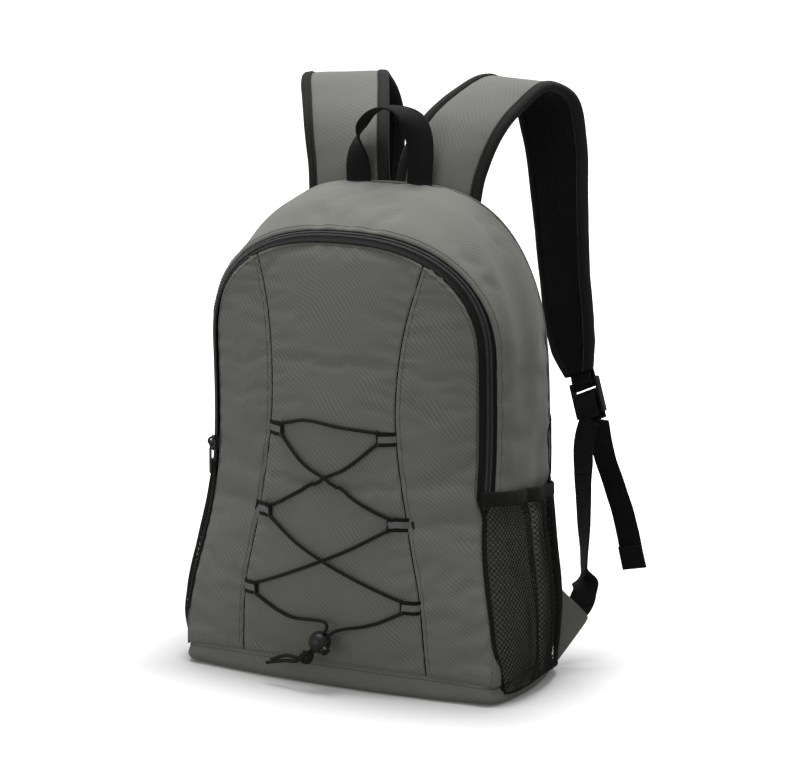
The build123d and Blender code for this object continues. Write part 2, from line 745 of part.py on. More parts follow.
def bungee():
    """Elastic cord in two nodes: laced to the flap above the hinge line, and to the sewn front below it."""
    low, mid, high = LACE_HEIGHTS
    top_x = tab_x(high) - 2.6
    top_z = high + LACE_TAB / 2 - 1
    over = [cord_point(-top_x, top_z), cord_point(-top_x * 0.4, top_z + 4), cord_point(top_x * 0.4, top_z + 4),
            cord_point(top_x, top_z)]
    upper = [cord_along(over), turn_at_tab(1, high), turn_at_tab(-1, high)]
    crossings = [cord_along(crossing(1, mid, high, 0.0)), cord_along(crossing(-1, mid, high, 3.6))]
    above = Pos(0, -85, FLAP_HINGE_Z + 200) * Box(400, 80, 400)
    below = Pos(0, -85, FLAP_HINGE_Z - FLAP_GAP - 200) * Box(400, 80, 400)
    upper += [c & above for c in crossings]
    lower = [c & below for c in crossings]
    lower += [cord_along(crossing(1, low, mid, 0.0)), cord_along(crossing(-1, low, mid, 3.6))]
    lower += [turn_at_tab(s, z) for s in (1, -1) for z in (low, mid)]
    return upper, lower


LOCK_BALL = Vector(0, -95.5, 47)
BALL_RADIUS = 10.0
TAIL_DIRECTION = Vector(-0.62, -0.08, -0.78).normalized()
CORD_PAIR = 1.9  # half distance between the two cords in the lock


def pair_offset():
    """Half of the step from one cord to the other where they run side by side."""
    return ball_frame().y_dir * CORD_PAIR


def cord_legs():
    """The two cord ends, from the lowest loops into the top of the cord lock."""
    low = LACE_HEIGHTS[0]
    legs = []
    enter = LOCK_BALL - TAIL_DIRECTION * (BALL_RADIUS + 2.5)
    for side in (-1, 1):
        x = side * (tab_x(low) - 2.6)
        offset = pair_offset() * (side if pair_offset().X > 0 else -side)
        over = [Vector(-14, -92.5, 66), Vector(5.5, -94, 64)] if side < 0 else [Vector(22, -91, 63)]
        legs.append(cord_along([cord_point(x, low - LACE_TAB / 2 - 2.4), cord_point(x * 0.72, low - 17)] + over
                               + [enter + offset * 1.15]))
    return legs


def ball_frame():
    """Plane at the cord lock's centre: z along the cords towards the knot, x along the push button."""
    return Plane(origin=LOCK_BALL, x_dir=Vector(0.72, -0.45, -0.53), z_dir=TAIL_DIRECTION)


def cord_lock_body(frame):
    """Ball with a blind bore for the plunger and a cross hole for the cords."""
    bore = Pos(-6.5 + 10, 0, 0) * (Rot(0, 90, 0) * Cylinder(4.6, 20))
    hole = extrude(SlotOverall(8.6, 4.4, rotation=90), 30, both=True)
    return frame * (Sphere(BALL_RADIUS) - bore - hole)


def cord_lock_plunger(frame):
    """Push button with its own cross hole, held out by the spring; it pinches the cords at rest."""
    stem = Pos(4.7, 0, 0) * (Rot(0, 90, 0) * Cylinder(4.2, 15.4))
    hole = Pos(1.2, 0, 0) * extrude(Rectangle(5.8, 7.2), 30, both=True)
    return frame * (stem - hole)


def cord_lock_spring(frame):
    """Coil spring behind the plunger."""
    path = Helix(pitch=0.9, height=2.1, radius=2.6)
    coil = sweep(Plane(origin=path @ 0, z_dir=path % 0) * Circle(0.28), path=path)
    return frame * Pos(-6.0, 0, 0) * (Rot(0, 90, 0) * coil)


KNOT_CENTRE = LOCK_BALL + TAIL_DIRECTION * (BALL_RADIUS + 9.5)


def cord_through_lock():
    """The two cords side by side from above the ball down to the knot."""
    top = LOCK_BALL - TAIL_DIRECTION * (BALL_RADIUS - 1.5)
    low = LOCK_BALL + TAIL_DIRECTION * (BALL_RADIUS + 1.2)
    disc = Circle(1.25)
    cords = []
    for sign in (-1, 1):
        start = top + pair_offset() * sign
        cords.append(extrude(Plane(origin=start, z_dir=TAIL_DIRECTION) * disc, (low - top).length))
    return cords


def cord_knot():
    """Overhand knot below the lock."""
    across = Vector(0.78, 0, -0.62)
    count = 15
    pts = []
    for k in range(count):
        t = 0.25 + 1.88 * math.pi * k / (count - 1)
        swell = 3.9 + 1.5 * math.cos(3 * t)
        pts.append(KNOT_CENTRE + across * (swell * math.cos(2 * t)) + TAIL_DIRECTION * (swell * math.sin(2 * t))
                   + Vector(0, 2.0 * math.sin(3 * t), 0))
    return cord_along(pts, CORD - 0.1)


def cord_tail():
    """The two loose ends of the cord below the knot."""
    across = Vector(-0.2, 0, 0.98)
    ends = []
    for spread in (-2.0, 2.0):
        start = KNOT_CENTRE + Vector(-8.6, -0.5, -2.6) + across * spread
        finish = Vector(-55, -90.5, 22) + across * spread
        bend = (start + finish) * 0.5 + Vector(0, -0.5, 1.5)
        ends.append(cord_along([start, bend, finish], 1.5))
    return ends


# ---------------------------------------------------------------- build


def build():
    os.makedirs("parts", exist_ok=True)
    save("base_panel", base_panel())
    save("base_board", base_board())
    save("gusset", gusset())
    save("back_panel_cover", back_layer(LINING, LINING, 1.0, BASE_RISE))
    save("back_panel_foam", back_layer(-SEAM, FOAM, 7.0, BASE_RISE + 3))
    save("back_panel_lining", back_layer(-2 * SEAM - FOAM, LINING, 9.0, BASE_RISE + 3))

    centre, right, left = lower_front()
    save("front_lower_centre", centre)
    save("front_lower_right", right)
    save("front_lower_left", left)
    centre, right, left = flap()
    save("flap_centre", centre)
    save("flap_right", right)
    save("flap_left", left)

    half_gap = NECK_GAP / 2
    save("zip_tape_gusset", zip_band(ZIP_START, half_gap, TAPE_HALF, TAPE))
    save("zip_tape_flap", zip_band(ZIP_FOOT_TOP, -TAPE_HALF, -half_gap, TAPE))
    save("zip_tape_foot", zip_foot(-TAPE_HALF, -half_gap, TAPE))
    save("zip_coil_gusset", zip_band(ZIP_START, half_gap, half_gap + COIL, COIL, COIL + 0.1))
    save("zip_coil_flap", zip_band(ZIP_FOOT_TOP, -half_gap - COIL, -half_gap, COIL, COIL + 0.1))
    save("zip_coil_foot", zip_foot(-half_gap - COIL, -half_gap, COIL, COIL + 0.1))
    frame = slider_frame()
    save("zip_slider", zip_slider(frame))
    save("zip_puller", zip_puller(frame))

    mesh, binding = pocket_mesh(), pocket_binding()
    save("pocket_mesh_right", mesh)
    save("pocket_mesh_left", flip(mesh))
    save("pocket_binding_right", binding)
    save("pocket_binding_left", flip(binding))

    lock = lock_frame()
    right = strap_parts()
    pieces = {
        "strap_face": [right["face"]], "strap_foam": [right["foam"]], "strap_lining": [right["lining"]],
        "strap_binding": right["binding"], "strap_anchor": [strap_anchor()], "lock_loop": [lock_loop(lock)],
        "ladder_lock": [ladder_lock(lock)], "web_wrap": [web_wrap(lock)], "adjuster_web": [adjuster_web(lock)],
        "web_tail": [web_tail(lock)], "wing": [wing()], "wing_web": [wing_web()],
    }
    for name, shapes in pieces.items():
        save(f"{name}_right", shapes)
        save(f"{name}_left", [flip(s) for s in shapes])

    save("handle", handle())
    tabs = {z: [lace_tab(z), flip(lace_tab(z))] for z in LACE_HEIGHTS}
    save("lace_loops_lower", tabs[LACE_HEIGHTS[0]] + tabs[LACE_HEIGHTS[1]])
    save("lace_loops_upper", tabs[LACE_HEIGHTS[2]])
    upper, lower = bungee()
    save("bungee_upper", upper)
    save("bungee_lower", lower)
    save("bungee_legs", cord_legs())
    ball = ball_frame()
    save("cord_lock_body", cord_lock_body(ball))
    save("cord_lock_plunger", cord_lock_plunger(ball))
    save("cord_lock_spring", cord_lock_spring(ball))
    save("cord_knot", cord_knot())
    save("cord_tail", cord_tail())
    save("cord_through_lock", cord_through_lock())


build()
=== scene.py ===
import json
import math
import bpy
import numpy as np
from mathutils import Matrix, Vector, noise
from mathutils.bvhtree import BVHTree


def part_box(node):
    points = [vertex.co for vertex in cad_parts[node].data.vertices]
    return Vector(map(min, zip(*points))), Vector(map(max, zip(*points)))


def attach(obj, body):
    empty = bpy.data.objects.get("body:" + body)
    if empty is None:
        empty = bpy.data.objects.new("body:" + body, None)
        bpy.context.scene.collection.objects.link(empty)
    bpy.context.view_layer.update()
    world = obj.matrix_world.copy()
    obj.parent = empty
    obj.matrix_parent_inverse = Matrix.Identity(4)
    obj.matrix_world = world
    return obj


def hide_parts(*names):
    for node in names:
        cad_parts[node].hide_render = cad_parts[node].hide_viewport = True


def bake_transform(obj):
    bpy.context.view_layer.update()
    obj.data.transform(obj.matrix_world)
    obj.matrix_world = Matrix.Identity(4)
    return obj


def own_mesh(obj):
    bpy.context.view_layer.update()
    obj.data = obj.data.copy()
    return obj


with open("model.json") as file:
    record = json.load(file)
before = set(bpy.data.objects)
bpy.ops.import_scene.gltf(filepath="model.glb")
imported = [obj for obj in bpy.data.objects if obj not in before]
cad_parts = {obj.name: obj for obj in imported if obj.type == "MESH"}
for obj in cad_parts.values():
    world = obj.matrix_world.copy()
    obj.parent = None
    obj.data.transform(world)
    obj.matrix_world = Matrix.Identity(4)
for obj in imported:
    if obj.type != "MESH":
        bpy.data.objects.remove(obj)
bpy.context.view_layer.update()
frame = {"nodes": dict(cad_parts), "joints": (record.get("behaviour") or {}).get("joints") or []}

# The daypack's looks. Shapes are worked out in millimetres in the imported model's frame: +Z up, the zipped
# front towards -Y, the wearer's back towards +Y. They are turned into metres when a mesh is made.
MM = 0.001


def node_box(name):
    """Lowest and highest corners of a CAD node, in millimetres."""
    low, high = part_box(name)
    return np.array(low) / MM, np.array(high) / MM


def joint(name):
    return next(j for j in frame["joints"] if j["name"] == name)


TRAY_HIGH = node_box("base_panel")[1]
GUSSET_HIGH = node_box("gusset")[1]

# Driving dimensions of the bag
RISE = TRAY_HIGH[2] - 6.0  # the cloth tray is sewn on a little lower than the stiff one's wall
BASE_HALF = GUSSET_HIGH[0] - 3.5
BODY_HALF = 138.0
ZIP_START = node_box("zip_tape_gusset")[0][2]
SHOULDER = 300.0
FRONT_TOP = 407.0
FRONT_POWER = 2.4
BACK_HALF = 141.0
BACK_SHOULDER = 210.0
BACK_TOP = GUSSET_HIGH[2]
BACK_POWER = 3.4
FRONT_ARCH = (BODY_HALF, SHOULDER, FRONT_TOP, FRONT_POWER)
BACK_ARCH = (BACK_HALF, BACK_SHOULDER, BACK_TOP, BACK_POWER)
TAPE_HALF = 8.0
CHAMFER_OUT, CHAMFER_BACK = 0.63, 0.775  # the zip lies on a chamfer: its direction outwards and to the back
HINGE_Z = joint("front_flap_open")["pos_m"][2] / MM
CLOTH = 0.9  # thickness of the shell fabric
WEB = 25.0
CORD = 1.6


# ---------------------------------------------------------------- curves and grids


def smooth(t):
    """Smooth step from 0 to 1."""
    t = np.clip(t, 0.0, 1.0)
    return t * t * (3 - 2 * t)


def hermite(values, slopes, i, t, span=1.0):
    """Smooth curve between knots i and i + 1, at a share t of the way."""
    rise = values[i] * (1 + 2 * t) * (1 - t) ** 2 + values[i + 1] * t * t * (3 - 2 * t)
    return rise + span * t * (1 - t) * (slopes[i] * (1 - t) - slopes[i + 1] * t)


def bow(table, z):
    """Smooth curve through a short table of (height, value)."""
    knots, values = np.array(table, float).T
    slopes = np.gradient(values, knots)
    z = np.clip(z, knots[0], knots[-1])
    i = np.clip(np.searchsorted(knots, z, side="right") - 1, 0, len(knots) - 2)
    span = knots[i + 1] - knots[i]
    return hermite(values, slopes, i, (z - knots[i]) / span, span)


def unit(v):
    """Vectors made one long."""
    v = np.asarray(v, float)
    return v / np.maximum(np.linalg.norm(v, axis=-1, keepdims=True), 1e-9)


def lengths(points):
    """Distance along a polyline at each of its points."""
    return np.concatenate([[0], np.cumsum(np.linalg.norm(np.diff(points, axis=0), axis=1))])


def resample(points, count):
    """The same polyline with evenly spaced points."""
    points = np.asarray(points, float)
    along = lengths(points)
    at = np.linspace(0, along[-1], count)
    return np.stack([np.interp(at, along, column) for column in points.T], axis=1)


def spline(points, count):
    """Evenly spaced points on a smooth curve through the given ones."""
    points = np.asarray(points, float)
    knots = lengths(points)
    at = np.linspace(0, knots[-1], count * 4)
    fine = np.stack([bow(np.stack([knots, column], axis=1), at) for column in points.T], axis=1)
    return resample(fine, count)


def tangents(points):
    return unit(np.gradient(points, axis=0))


def flip(points):
    """Mirror image in X = 0."""
    return points * np.array([-1.0, 1.0, 1.0])


def on_side(shape, side):
    """A right-hand shape as it is, or its mirror image for the left."""
    return flip(shape) if side == "left" else shape


def wobble(points, size, seed=0.0):
    """Smooth noise in -1..1 at each point, with features about as big as size."""
    flat = np.asarray(points, float).reshape(-1, 3) / size
    shift = Vector((seed * 7.3, seed * 3.1, seed * 5.7))
    values = [noise.noise(Vector(p) + shift) for p in flat]
    return np.array(values).reshape(np.asarray(points).shape[:-1])


def grid_normals(grid):
    """Unit normals of a grid of points; they follow the right hand from the first axis to the second."""
    across = np.gradient(grid, axis=0)
    along = np.gradient(grid, axis=1)
    return unit(np.cross(across, along))


def facing(grid, row, col, way):
    """The grid, its columns turned round if its normal at one point leads against the given way."""
    against = np.dot(grid_normals(grid)[row, col], way) < 0
    return grid[:, ::-1] if against else grid


# ---------------------------------------------------------------- the bag's outline


def front_half(z):
    return BODY_HALF + (BASE_HALF - BODY_HALF) * (1 - smooth((z - 35) / 130))


def rear_half(z):
    return BACK_HALF + (BASE_HALF - 2 - BACK_HALF) * (1 - smooth((z - 35) / 130))


def seam_y(z):
    return bow([(28, -65), (100, -58), (160, -46), (184, -41), (300, -38), (360, -42), (407, -50)], z)


def centre_y(z):
    return bow([(0, -70), (28, -75), (80, -81), (190, -80), (300, -73), (410, -56)], z)


def rear_y(z):
    return bow([(28, 69), (60, 77), (130, 84), (250, 85), (330, 78), (400, 58), (444, 42)], z)


def tape_share(z):
    """How much of the zip has opened between gusset and front at a height."""
    return smooth((z - 160) / (ZIP_START - 160))


def edge_y(z):
    return seam_y(z) - TAPE_HALF * CHAMFER_BACK * tape_share(z)


def crown_half(z):
    return front_half(z) - TAPE_HALF * CHAMFER_OUT * tape_share(z)


def front_y(x, z):
    """Depth of the crowned front."""
    return centre_y(z) + (edge_y(z) - centre_y(z)) * (x / crown_half(z)) ** 2


def seam_x(z):
    """Half distance between the two curved seams of the front."""
    return bow([(28, 93), (90, 88), (150, 76), (262, 62), (330, 68), (404, 88)], z)


def arch_x(half, low, top, power, z):
    """Half width of an arch at a height."""
    t = np.clip((z - low) / (top - low), 0, 1)
    return half * np.maximum(1 - t ** power, 0) ** (1 / power)


def arch_z(half, low, top, power, x):
    """Height of an arch at a half width."""
    t = np.clip(np.abs(x) / half, 0, 1)
    return low + (top - low) * np.maximum(1 - t ** power, 0) ** (1 / power)


def arch_point(half, low, top, power, turn):
    """Points (x, z) of an arch at angles from 0 at the shoulder to pi / 2 at the top."""
    c, s = np.maximum(np.cos(turn), 0), np.maximum(np.sin(turn), 0)
    return half * c ** (2 / power), low + (top - low) * s ** (2 / power)


def low_edge(x):
    """Height of the seam round the base: it dips towards the corners."""
    return RISE - 4.0 * np.minimum(np.abs(x) / BASE_HALF, 1.0) ** 4


def seam_lines(low, count):
    """Front seam, its outward direction and the back seam, from the right foot over the top to the left."""
    z = np.linspace(low, SHOULDER, 160)[:-1]
    turn = np.linspace(0, math.pi / 2, 240)
    ax, az = arch_point(*FRONT_ARCH, turn)
    front = np.stack([np.concatenate([front_half(z), ax]), np.concatenate([z, az])], axis=1)
    start = math.asin(((SHOULDER - BACK_SHOULDER) / (BACK_TOP - BACK_SHOULDER)) ** (BACK_POWER / 2))
    bx, bz = arch_point(*BACK_ARCH, start + (math.pi / 2 - start) * turn * 2 / math.pi)
    side = np.where(z <= BACK_SHOULDER, rear_half(z), arch_x(*BACK_ARCH, z))
    back = np.stack([np.concatenate([side, bx]), np.concatenate([z, bz])], axis=1)
    both = np.concatenate([front, back], axis=1)
    both = np.concatenate([both, (both * [-1, 1, -1, 1])[-2::-1]])
    both = resample(both, count)
    fx, fz, rx, rz = both.T
    seam = np.stack([fx, seam_y(fz), fz], axis=1)
    rear = np.stack([rx, rear_y(rz), rz], axis=1)
    run = tangents(np.stack([fx, np.zeros(count), fz], axis=1))
    out = np.stack([run[:, 2], np.zeros(count), -run[:, 0]], axis=1)
    return seam, out, rear


def tape_direction(out):
    """The way across the zip, from the front towards the gusset."""
    return unit(out * CHAMFER_OUT + np.array([0, CHAMFER_BACK, 0]))


def tape_normal(out):
    return unit(out * CHAMFER_BACK - np.array([0, CHAMFER_OUT, 0]))


# ---------------------------------------------------------------- making meshes


def make_mesh(name, points, faces, uv=None, face_slots=None, materials=(), flat=False):
    """New object from points in millimetres. uv holds one pair per point."""
    mesh = bpy.data.meshes.new(name)
    mesh.from_pydata((np.asarray(points, float) * MM).tolist(), [], [list(map(int, f)) for f in faces])
    mesh.update()
    if uv is not None:
        layer = mesh.uv_layers.new(name="UVMap")
        loops = np.empty(len(mesh.loops), np.int64)
        mesh.loops.foreach_get("vertex_index", loops)
        layer.data.foreach_set("uv", np.asarray(uv, np.float32)[loops].ravel())
    for material in materials:
        mesh.materials.append(material)
    if face_slots is not None:
        mesh.polygons.foreach_set("material_index", np.asarray(face_slots, np.int32))
    mesh.polygons.foreach_set("use_smooth", [not flat] * len(mesh.polygons))
    obj = bpy.data.objects.new(name, mesh)
    bpy.context.scene.collection.objects.link(obj)
    return obj


def grid_faces(rows, cols, close_rows=False, close_cols=False):
    """Quads of a grid whose points are numbered row by row."""
    r = np.arange(rows if close_rows else rows - 1)
    c = np.arange(cols if close_cols else cols - 1)
    r, c = np.meshgrid(r, c, indexing="ij")
    r2, c2 = (r + 1) % rows, (c + 1) % cols
    quads = np.stack([r * cols + c, r2 * cols + c, r2 * cols + c2, r * cols + c2], axis=-1)
    return quads.reshape(-1, 4)


def grid_uv(grid, start=(0.0, 0.0)):
    """Distances along and across a grid, in millimetres, so that a weave keeps its size."""
    down = np.linalg.norm(np.diff(grid, axis=0), axis=2)
    over = np.linalg.norm(np.diff(grid, axis=1), axis=2)
    v = np.concatenate([np.zeros((1, grid.shape[1])), np.cumsum(down, axis=0)]).mean(axis=1)
    u = np.concatenate([np.zeros((grid.shape[0], 1)), np.cumsum(over, axis=1)], axis=1)
    u = u - u[:, -1:] / 2
    return np.stack([u + start[0], np.repeat(v[:, None], grid.shape[1], axis=1) + start[1]], axis=-1)


def shell(name, grid, thick, outer, inner=None, uv=None):
    """Closed sheet: the grid is its outer face, the inner face lies thick behind it."""
    rows, cols, _ = grid.shape
    normals = grid_normals(grid)
    points = np.concatenate([grid.reshape(-1, 3), (grid - normals * thick).reshape(-1, 3)])
    count = rows * cols
    top = grid_faces(rows, cols)
    low = top[:, ::-1] + count
    index = np.arange(count).reshape(rows, cols)
    ring = np.concatenate([index[0], index[1:, -1], index[-1, -2::-1], index[-2:0:-1, 0]])
    after = np.roll(ring, -1)
    rim = np.stack([ring, after, after + count, ring + count], axis=1)
    uv = grid_uv(grid) if uv is None else uv
    uv = np.concatenate([uv.reshape(-1, 2), uv.reshape(-1, 2)])
    materials = [MATERIALS[key] for key in (outer, inner) if key]
    slots = [0] * len(top) + [1 if inner else 0] * len(low) + [0] * len(rim)
    return make_mesh(name, points, np.concatenate([top, low, rim]), uv, slots, materials)


def drape(grid, pinned, pressure=2.0, slack=0.012, cap=7.0, stiff=12.0, frames=20):
    """Cloth simulation of a sheet that is sewn along its pinned points and pushed out along its normals."""
    rows, cols, _ = grid.shape
    obj = make_mesh("drape", grid.reshape(-1, 3), grid_faces(rows, cols))
    group = obj.vertex_groups.new(name="sewn")
    group.add([int(k) for k in np.flatnonzero(pinned.ravel())], 1.0, "REPLACE")
    cloth = obj.modifiers.new("Cloth", "CLOTH")
    settings = cloth.settings
    settings.quality = 6
    settings.mass = 0.15
    settings.tension_stiffness = stiff
    settings.compression_stiffness = stiff
    settings.shear_stiffness = stiff / 3
    settings.bending_stiffness = 0.15
    settings.air_damping = 2.0
    settings.vertex_group_mass = "sewn"
    settings.shrink_min = -slack
    settings.use_pressure = True
    settings.uniform_pressure_force = pressure
    settings.effector_weights.gravity = 0.0
    cloth.collision_settings.use_collision = False
    scene = bpy.context.scene
    for step in range(1, frames + 1):
        scene.frame_set(step)
    shown = obj.evaluated_get(bpy.context.evaluated_depsgraph_get())
    moved = np.empty(rows * cols * 3)
    shown.data.vertices.foreach_get("co", moved)
    bpy.data.objects.remove(obj)
    scene.frame_set(1)
    shift = moved.reshape(grid.shape) / MM - grid
    far = np.linalg.norm(shift, axis=-1, keepdims=True)
    return grid + shift * np.tanh(far / cap) * cap / np.maximum(far, 1e-6)


def finer(grid, times=2):
    """The same grid with smooth points added between its own."""

    def along_rows(g):
        fine = np.linspace(0, g.shape[0] - 1, (g.shape[0] - 1) * times + 1)
        flat = g.reshape(g.shape[0], -1)
        slopes = np.gradient(flat, axis=0)
        i = np.clip(fine.astype(int), 0, g.shape[0] - 2)
        out = hermite(flat, slopes, i, (fine - i)[:, None])
        return out.reshape((len(fine),) + g.shape[1:])

    return along_rows(along_rows(grid).swapaxes(0, 1)).swapaxes(0, 1)


def capped_faces(rows, sides):
    """Faces of a closed tube whose rings are numbered one after the other."""
    faces = [list(f) for f in grid_faces(rows, sides, close_cols=True)[:, ::-1]]
    last = (rows - 1) * sides
    return faces + [list(range(sides)), [last + k for k in range(sides - 1, -1, -1)]]


def tube(points, radius, sides=10, caps=True):
    """Points and faces of a round tube along a path, with domed ends."""
    points = np.asarray(points, float)
    radius = np.broadcast_to(radius, (len(points),)).astype(float)
    run = tangents(points)
    if caps:
        head = [points[0] - run[0] * radius[0] * k for k in (0.95, 0.6)]
        tail = [points[-1] + run[-1] * radius[-1] * k for k in (0.6, 0.95)]
        points = np.concatenate([head, points, tail])
        first, final = [radius[0] * 0.35, radius[0] * 0.8], [radius[-1] * 0.8, radius[-1] * 0.35]
        radius = np.concatenate([first, radius, final])
        run = tangents(points)
    side = unit(np.cross(run[0], [0.3, 0.2, 0.93]))
    turn = np.linspace(0, 2 * math.pi, sides, endpoint=False)
    rings, uvs, far = [], [], 0.0
    for k, p in enumerate(points):
        side = unit(side - run[k] * side.dot(run[k]))
        up = np.cross(run[k], side)
        rings.append(p + radius[k] * (np.cos(turn)[:, None] * side + np.sin(turn)[:, None] * up))
        far += np.linalg.norm(p - points[k - 1]) if k else 0.0
        uvs.append(np.stack([turn * radius.mean(), np.full(sides, far)], axis=1))
    return np.concatenate(rings), capped_faces(len(points), sides), np.concatenate(uvs)


def join(parts):
    """One set of points, faces and uv from several."""
    points, faces, uvs, shift = [], [], [], 0
    for p, f, uv in parts:
        points.append(p)
        faces += [[k + shift for k in face] for face in f]
        uvs.append(uv)
        shift += len(p)
    return np.concatenate(points), faces, np.concatenate(uvs)


def solid(name, parts, material, flat=False):
    """New object of one material from (points, faces, uv)."""
    points, faces, uv = parts
    return make_mesh(name, points, faces, uv, materials=[MATERIALS[material]], flat=flat)


def tubes(name, paths, radius, material, sides=10):
    return solid(name, join([tube(path, radius, sides) for path in paths]), material)


def rounded(width, thick, count=5):
    """Outline of a flat band's section with rounded edges, as (across, up) pairs."""
    half, r = width / 2, thick / 2
    flat = np.linspace(-half + r, half - r, 9)
    turn = np.linspace(-math.pi / 2, math.pi / 2, count + 2)[1:-1]
    right = np.stack([half - r + r * np.cos(turn), r * np.sin(turn)], axis=1)
    left = right[::-1] * [-1, 1]
    low = np.stack([flat, np.full(9, -r)], axis=1)
    high = np.stack([flat[::-1], np.full(9, r)], axis=1)
    return np.concatenate([low, right, high, left])


def frames_along(points, across):
    """Across and normal vectors square to a path."""
    run = tangents(points)
    across = unit(across - run * np.sum(across * run, axis=1, keepdims=True))
    return across, np.cross(run, across)


def band(points, across, width, thick, section=None, wave=0.0, seed=0.0):
    """Points, faces and uv of a webbing band along a path."""
    across, up = frames_along(points, across)
    width = np.broadcast_to(width, (len(points),))
    outline = rounded(WEB, thick) if section is None else section
    scale = width / WEB
    ring = (points[:, None, :] + across[:, None, :] * (outline[None, :, 0:1] * scale[:, None, None])
            + up[:, None, :] * outline[None, :, 1:2])
    if wave:
        ring = ring + up[:, None, :] * (wave * wobble(points, 22.0, seed))[:, None, None]
    sides = len(outline)
    shape = (len(points), sides)
    along = lengths(points)[:, None]
    uv = np.stack([np.broadcast_to(outline[:, 0], shape), np.broadcast_to(along, shape)], axis=-1)
    return ring.reshape(-1, 3), capped_faces(*shape), uv.reshape(-1, 2)


def spread(values, count):
    """Rows of values spread evenly over count stations."""
    values = np.asarray(values, float)
    at = np.linspace(0, len(values) - 1, count)
    return np.stack([np.interp(at, np.arange(len(values)), column) for column in values.T], axis=1)


def stitches(name, paths, normals, material, pitch=3.2, length=2.3, thick=0.26, lift=0.1):
    """Rows of raised thread stitches along paths that lie on a surface."""
    parts = []
    for path, normal in zip(paths, normals):
        path, normal = np.asarray(path, float), np.asarray(normal, float)
        total = np.linalg.norm(np.diff(path, axis=0), axis=1).sum()
        count = max(2, int(total / pitch))
        fine = resample(np.concatenate([path, normal], axis=1), count * 4 + 1)
        for k in range(count):
            p, n = fine[4 * k:4 * k + 4, :3], unit(fine[4 * k:4 * k + 4, 3:])
            middle, run = p.mean(axis=0), unit(p[-1] - p[0])
            half = length / 2
            arch = [middle - run * half - n[0] * thick * 0.6, middle - run * half * 0.7 + n[0] * lift,
                    middle + n[0] * (lift + thick * 0.35), middle + run * half * 0.7 + n[0] * lift,
                    middle + run * half - n[0] * thick * 0.6]
            parts.append(tube(np.array(arch), thick, 6, caps=False))
    return solid(name, join(parts), material)


def finish_piece(obj, body, slot_name, *stands_for):
    if stands_for:
        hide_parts(*stands_for)
    if isinstance(body, str):
        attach(obj, body)
    else:
        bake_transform(obj)
    return obj


# ---------------------------------------------------------------- materials


class Nodes:
    """Short way to write a node tree."""

    def __init__(self, name):
        self.material = bpy.data.materials.new(name)
        self.material.use_nodes = True
        self.tree = self.material.node_tree
        self.shader = self.tree.nodes["Principled BSDF"]

    def add(self, kind, **inputs):
        node = self.tree.nodes.new(kind)
        for key, value in inputs.items():
            setattr(node, key, value)
        return node

    def put(self, node, key, value):
        socket = node.inputs[key]
        if hasattr(value, "is_output"):
            self.tree.links.new(value, socket)
        else:
            socket.default_value = value

    def math(self, operation, a, b=None, c=None):
        node = self.add("ShaderNodeMath", operation=operation)
        for k, value in enumerate((a, b, c)):
            if value is not None:
                self.put(node, k, value)
        return node.outputs[0]

    def times(self, a, b):
        return self.math("MULTIPLY", a, b)

    def plus(self, a, b):
        return self.math("ADD", a, b)

    def scaled(self, a, factor, offset=1.0):
        return self.math("MULTIPLY_ADD", a, factor, offset)

    def vector(self, operation, a, b=None):
        node = self.add("ShaderNodeVectorMath", operation=operation)
        self.put(node, 0, a)
        if b is not None:
            self.put(node, 1, b)
        return node.outputs["Value" if operation == "LENGTH" else "Vector"]

    def uv(self):
        where = self.add("ShaderNodeUVMap")
        split = self.add("ShaderNodeSeparateXYZ")
        self.put(split, 0, where.outputs[0])
        return where.outputs[0], split.outputs[0], split.outputs[1]

    def place(self):
        """Object-space position in millimetres."""
        where = self.add("ShaderNodeTexCoord")
        return self.tint(where.outputs["Object"], 1 / MM)

    def noise(self, vector, size, detail=2.0, rough=0.5):
        node = self.add("ShaderNodeTexNoise")
        values = {"Vector": vector, "Scale": 1.0 / size, "Detail": detail, "Roughness": rough}
        for key, value in values.items():
            self.put(node, key, value)
        return node.outputs[0]

    def ramp(self, value, low, high):
        """Value 0..1 turned into low..high."""
        node = self.add("ShaderNodeMapRange")
        for key, setting in ((0, value), (3, low), (4, high)):
            self.put(node, key, setting)
        return node.outputs[0]

    def tint(self, color, factor):
        """Colour or position times a number."""
        node = self.add("ShaderNodeVectorMath", operation="SCALE")
        self.put(node, 0, color)
        self.put(node, "Scale", factor)
        return node.outputs[0]

    def mix(self, factor, a, b):
        node = self.add("ShaderNodeMix", data_type="RGBA")
        self.put(node, 0, factor)
        for key, value in ((6, a), (7, b)):
            self.put(node, key, value if hasattr(value, "is_output") else tuple(value[:3]) + (1.0,))
        return node.outputs[2]

    def bump(self, height, strength, distance, below=None):
        node = self.add("ShaderNodeBump")
        for key, value in (("Height", height), ("Strength", strength), ("Distance", distance * MM)):
            self.put(node, key, value)
        if below is not None:
            self.put(node, "Normal", below)
        return node.outputs[0]

    def finish(self, color, rough, normal=None, sheen=0.0, metal=0.0, specular=0.5):
        values = {"Base Color": color, "Roughness": rough, "Sheen Weight": sheen, "Sheen Roughness": 0.45,
                  "Metallic": metal, "Coat Weight": 0.0, "Specular IOR Level": specular}
        for key, value in values.items():
            self.put(self.shader, key, value)
        if normal is not None:
            self.put(self.shader, "Normal", normal)
        return self.material


def waves(n, value, period):
    """Sine of a distance in millimetres."""
    return n.math("SINE", n.scaled(value, 2 * math.pi / period, 0.0))


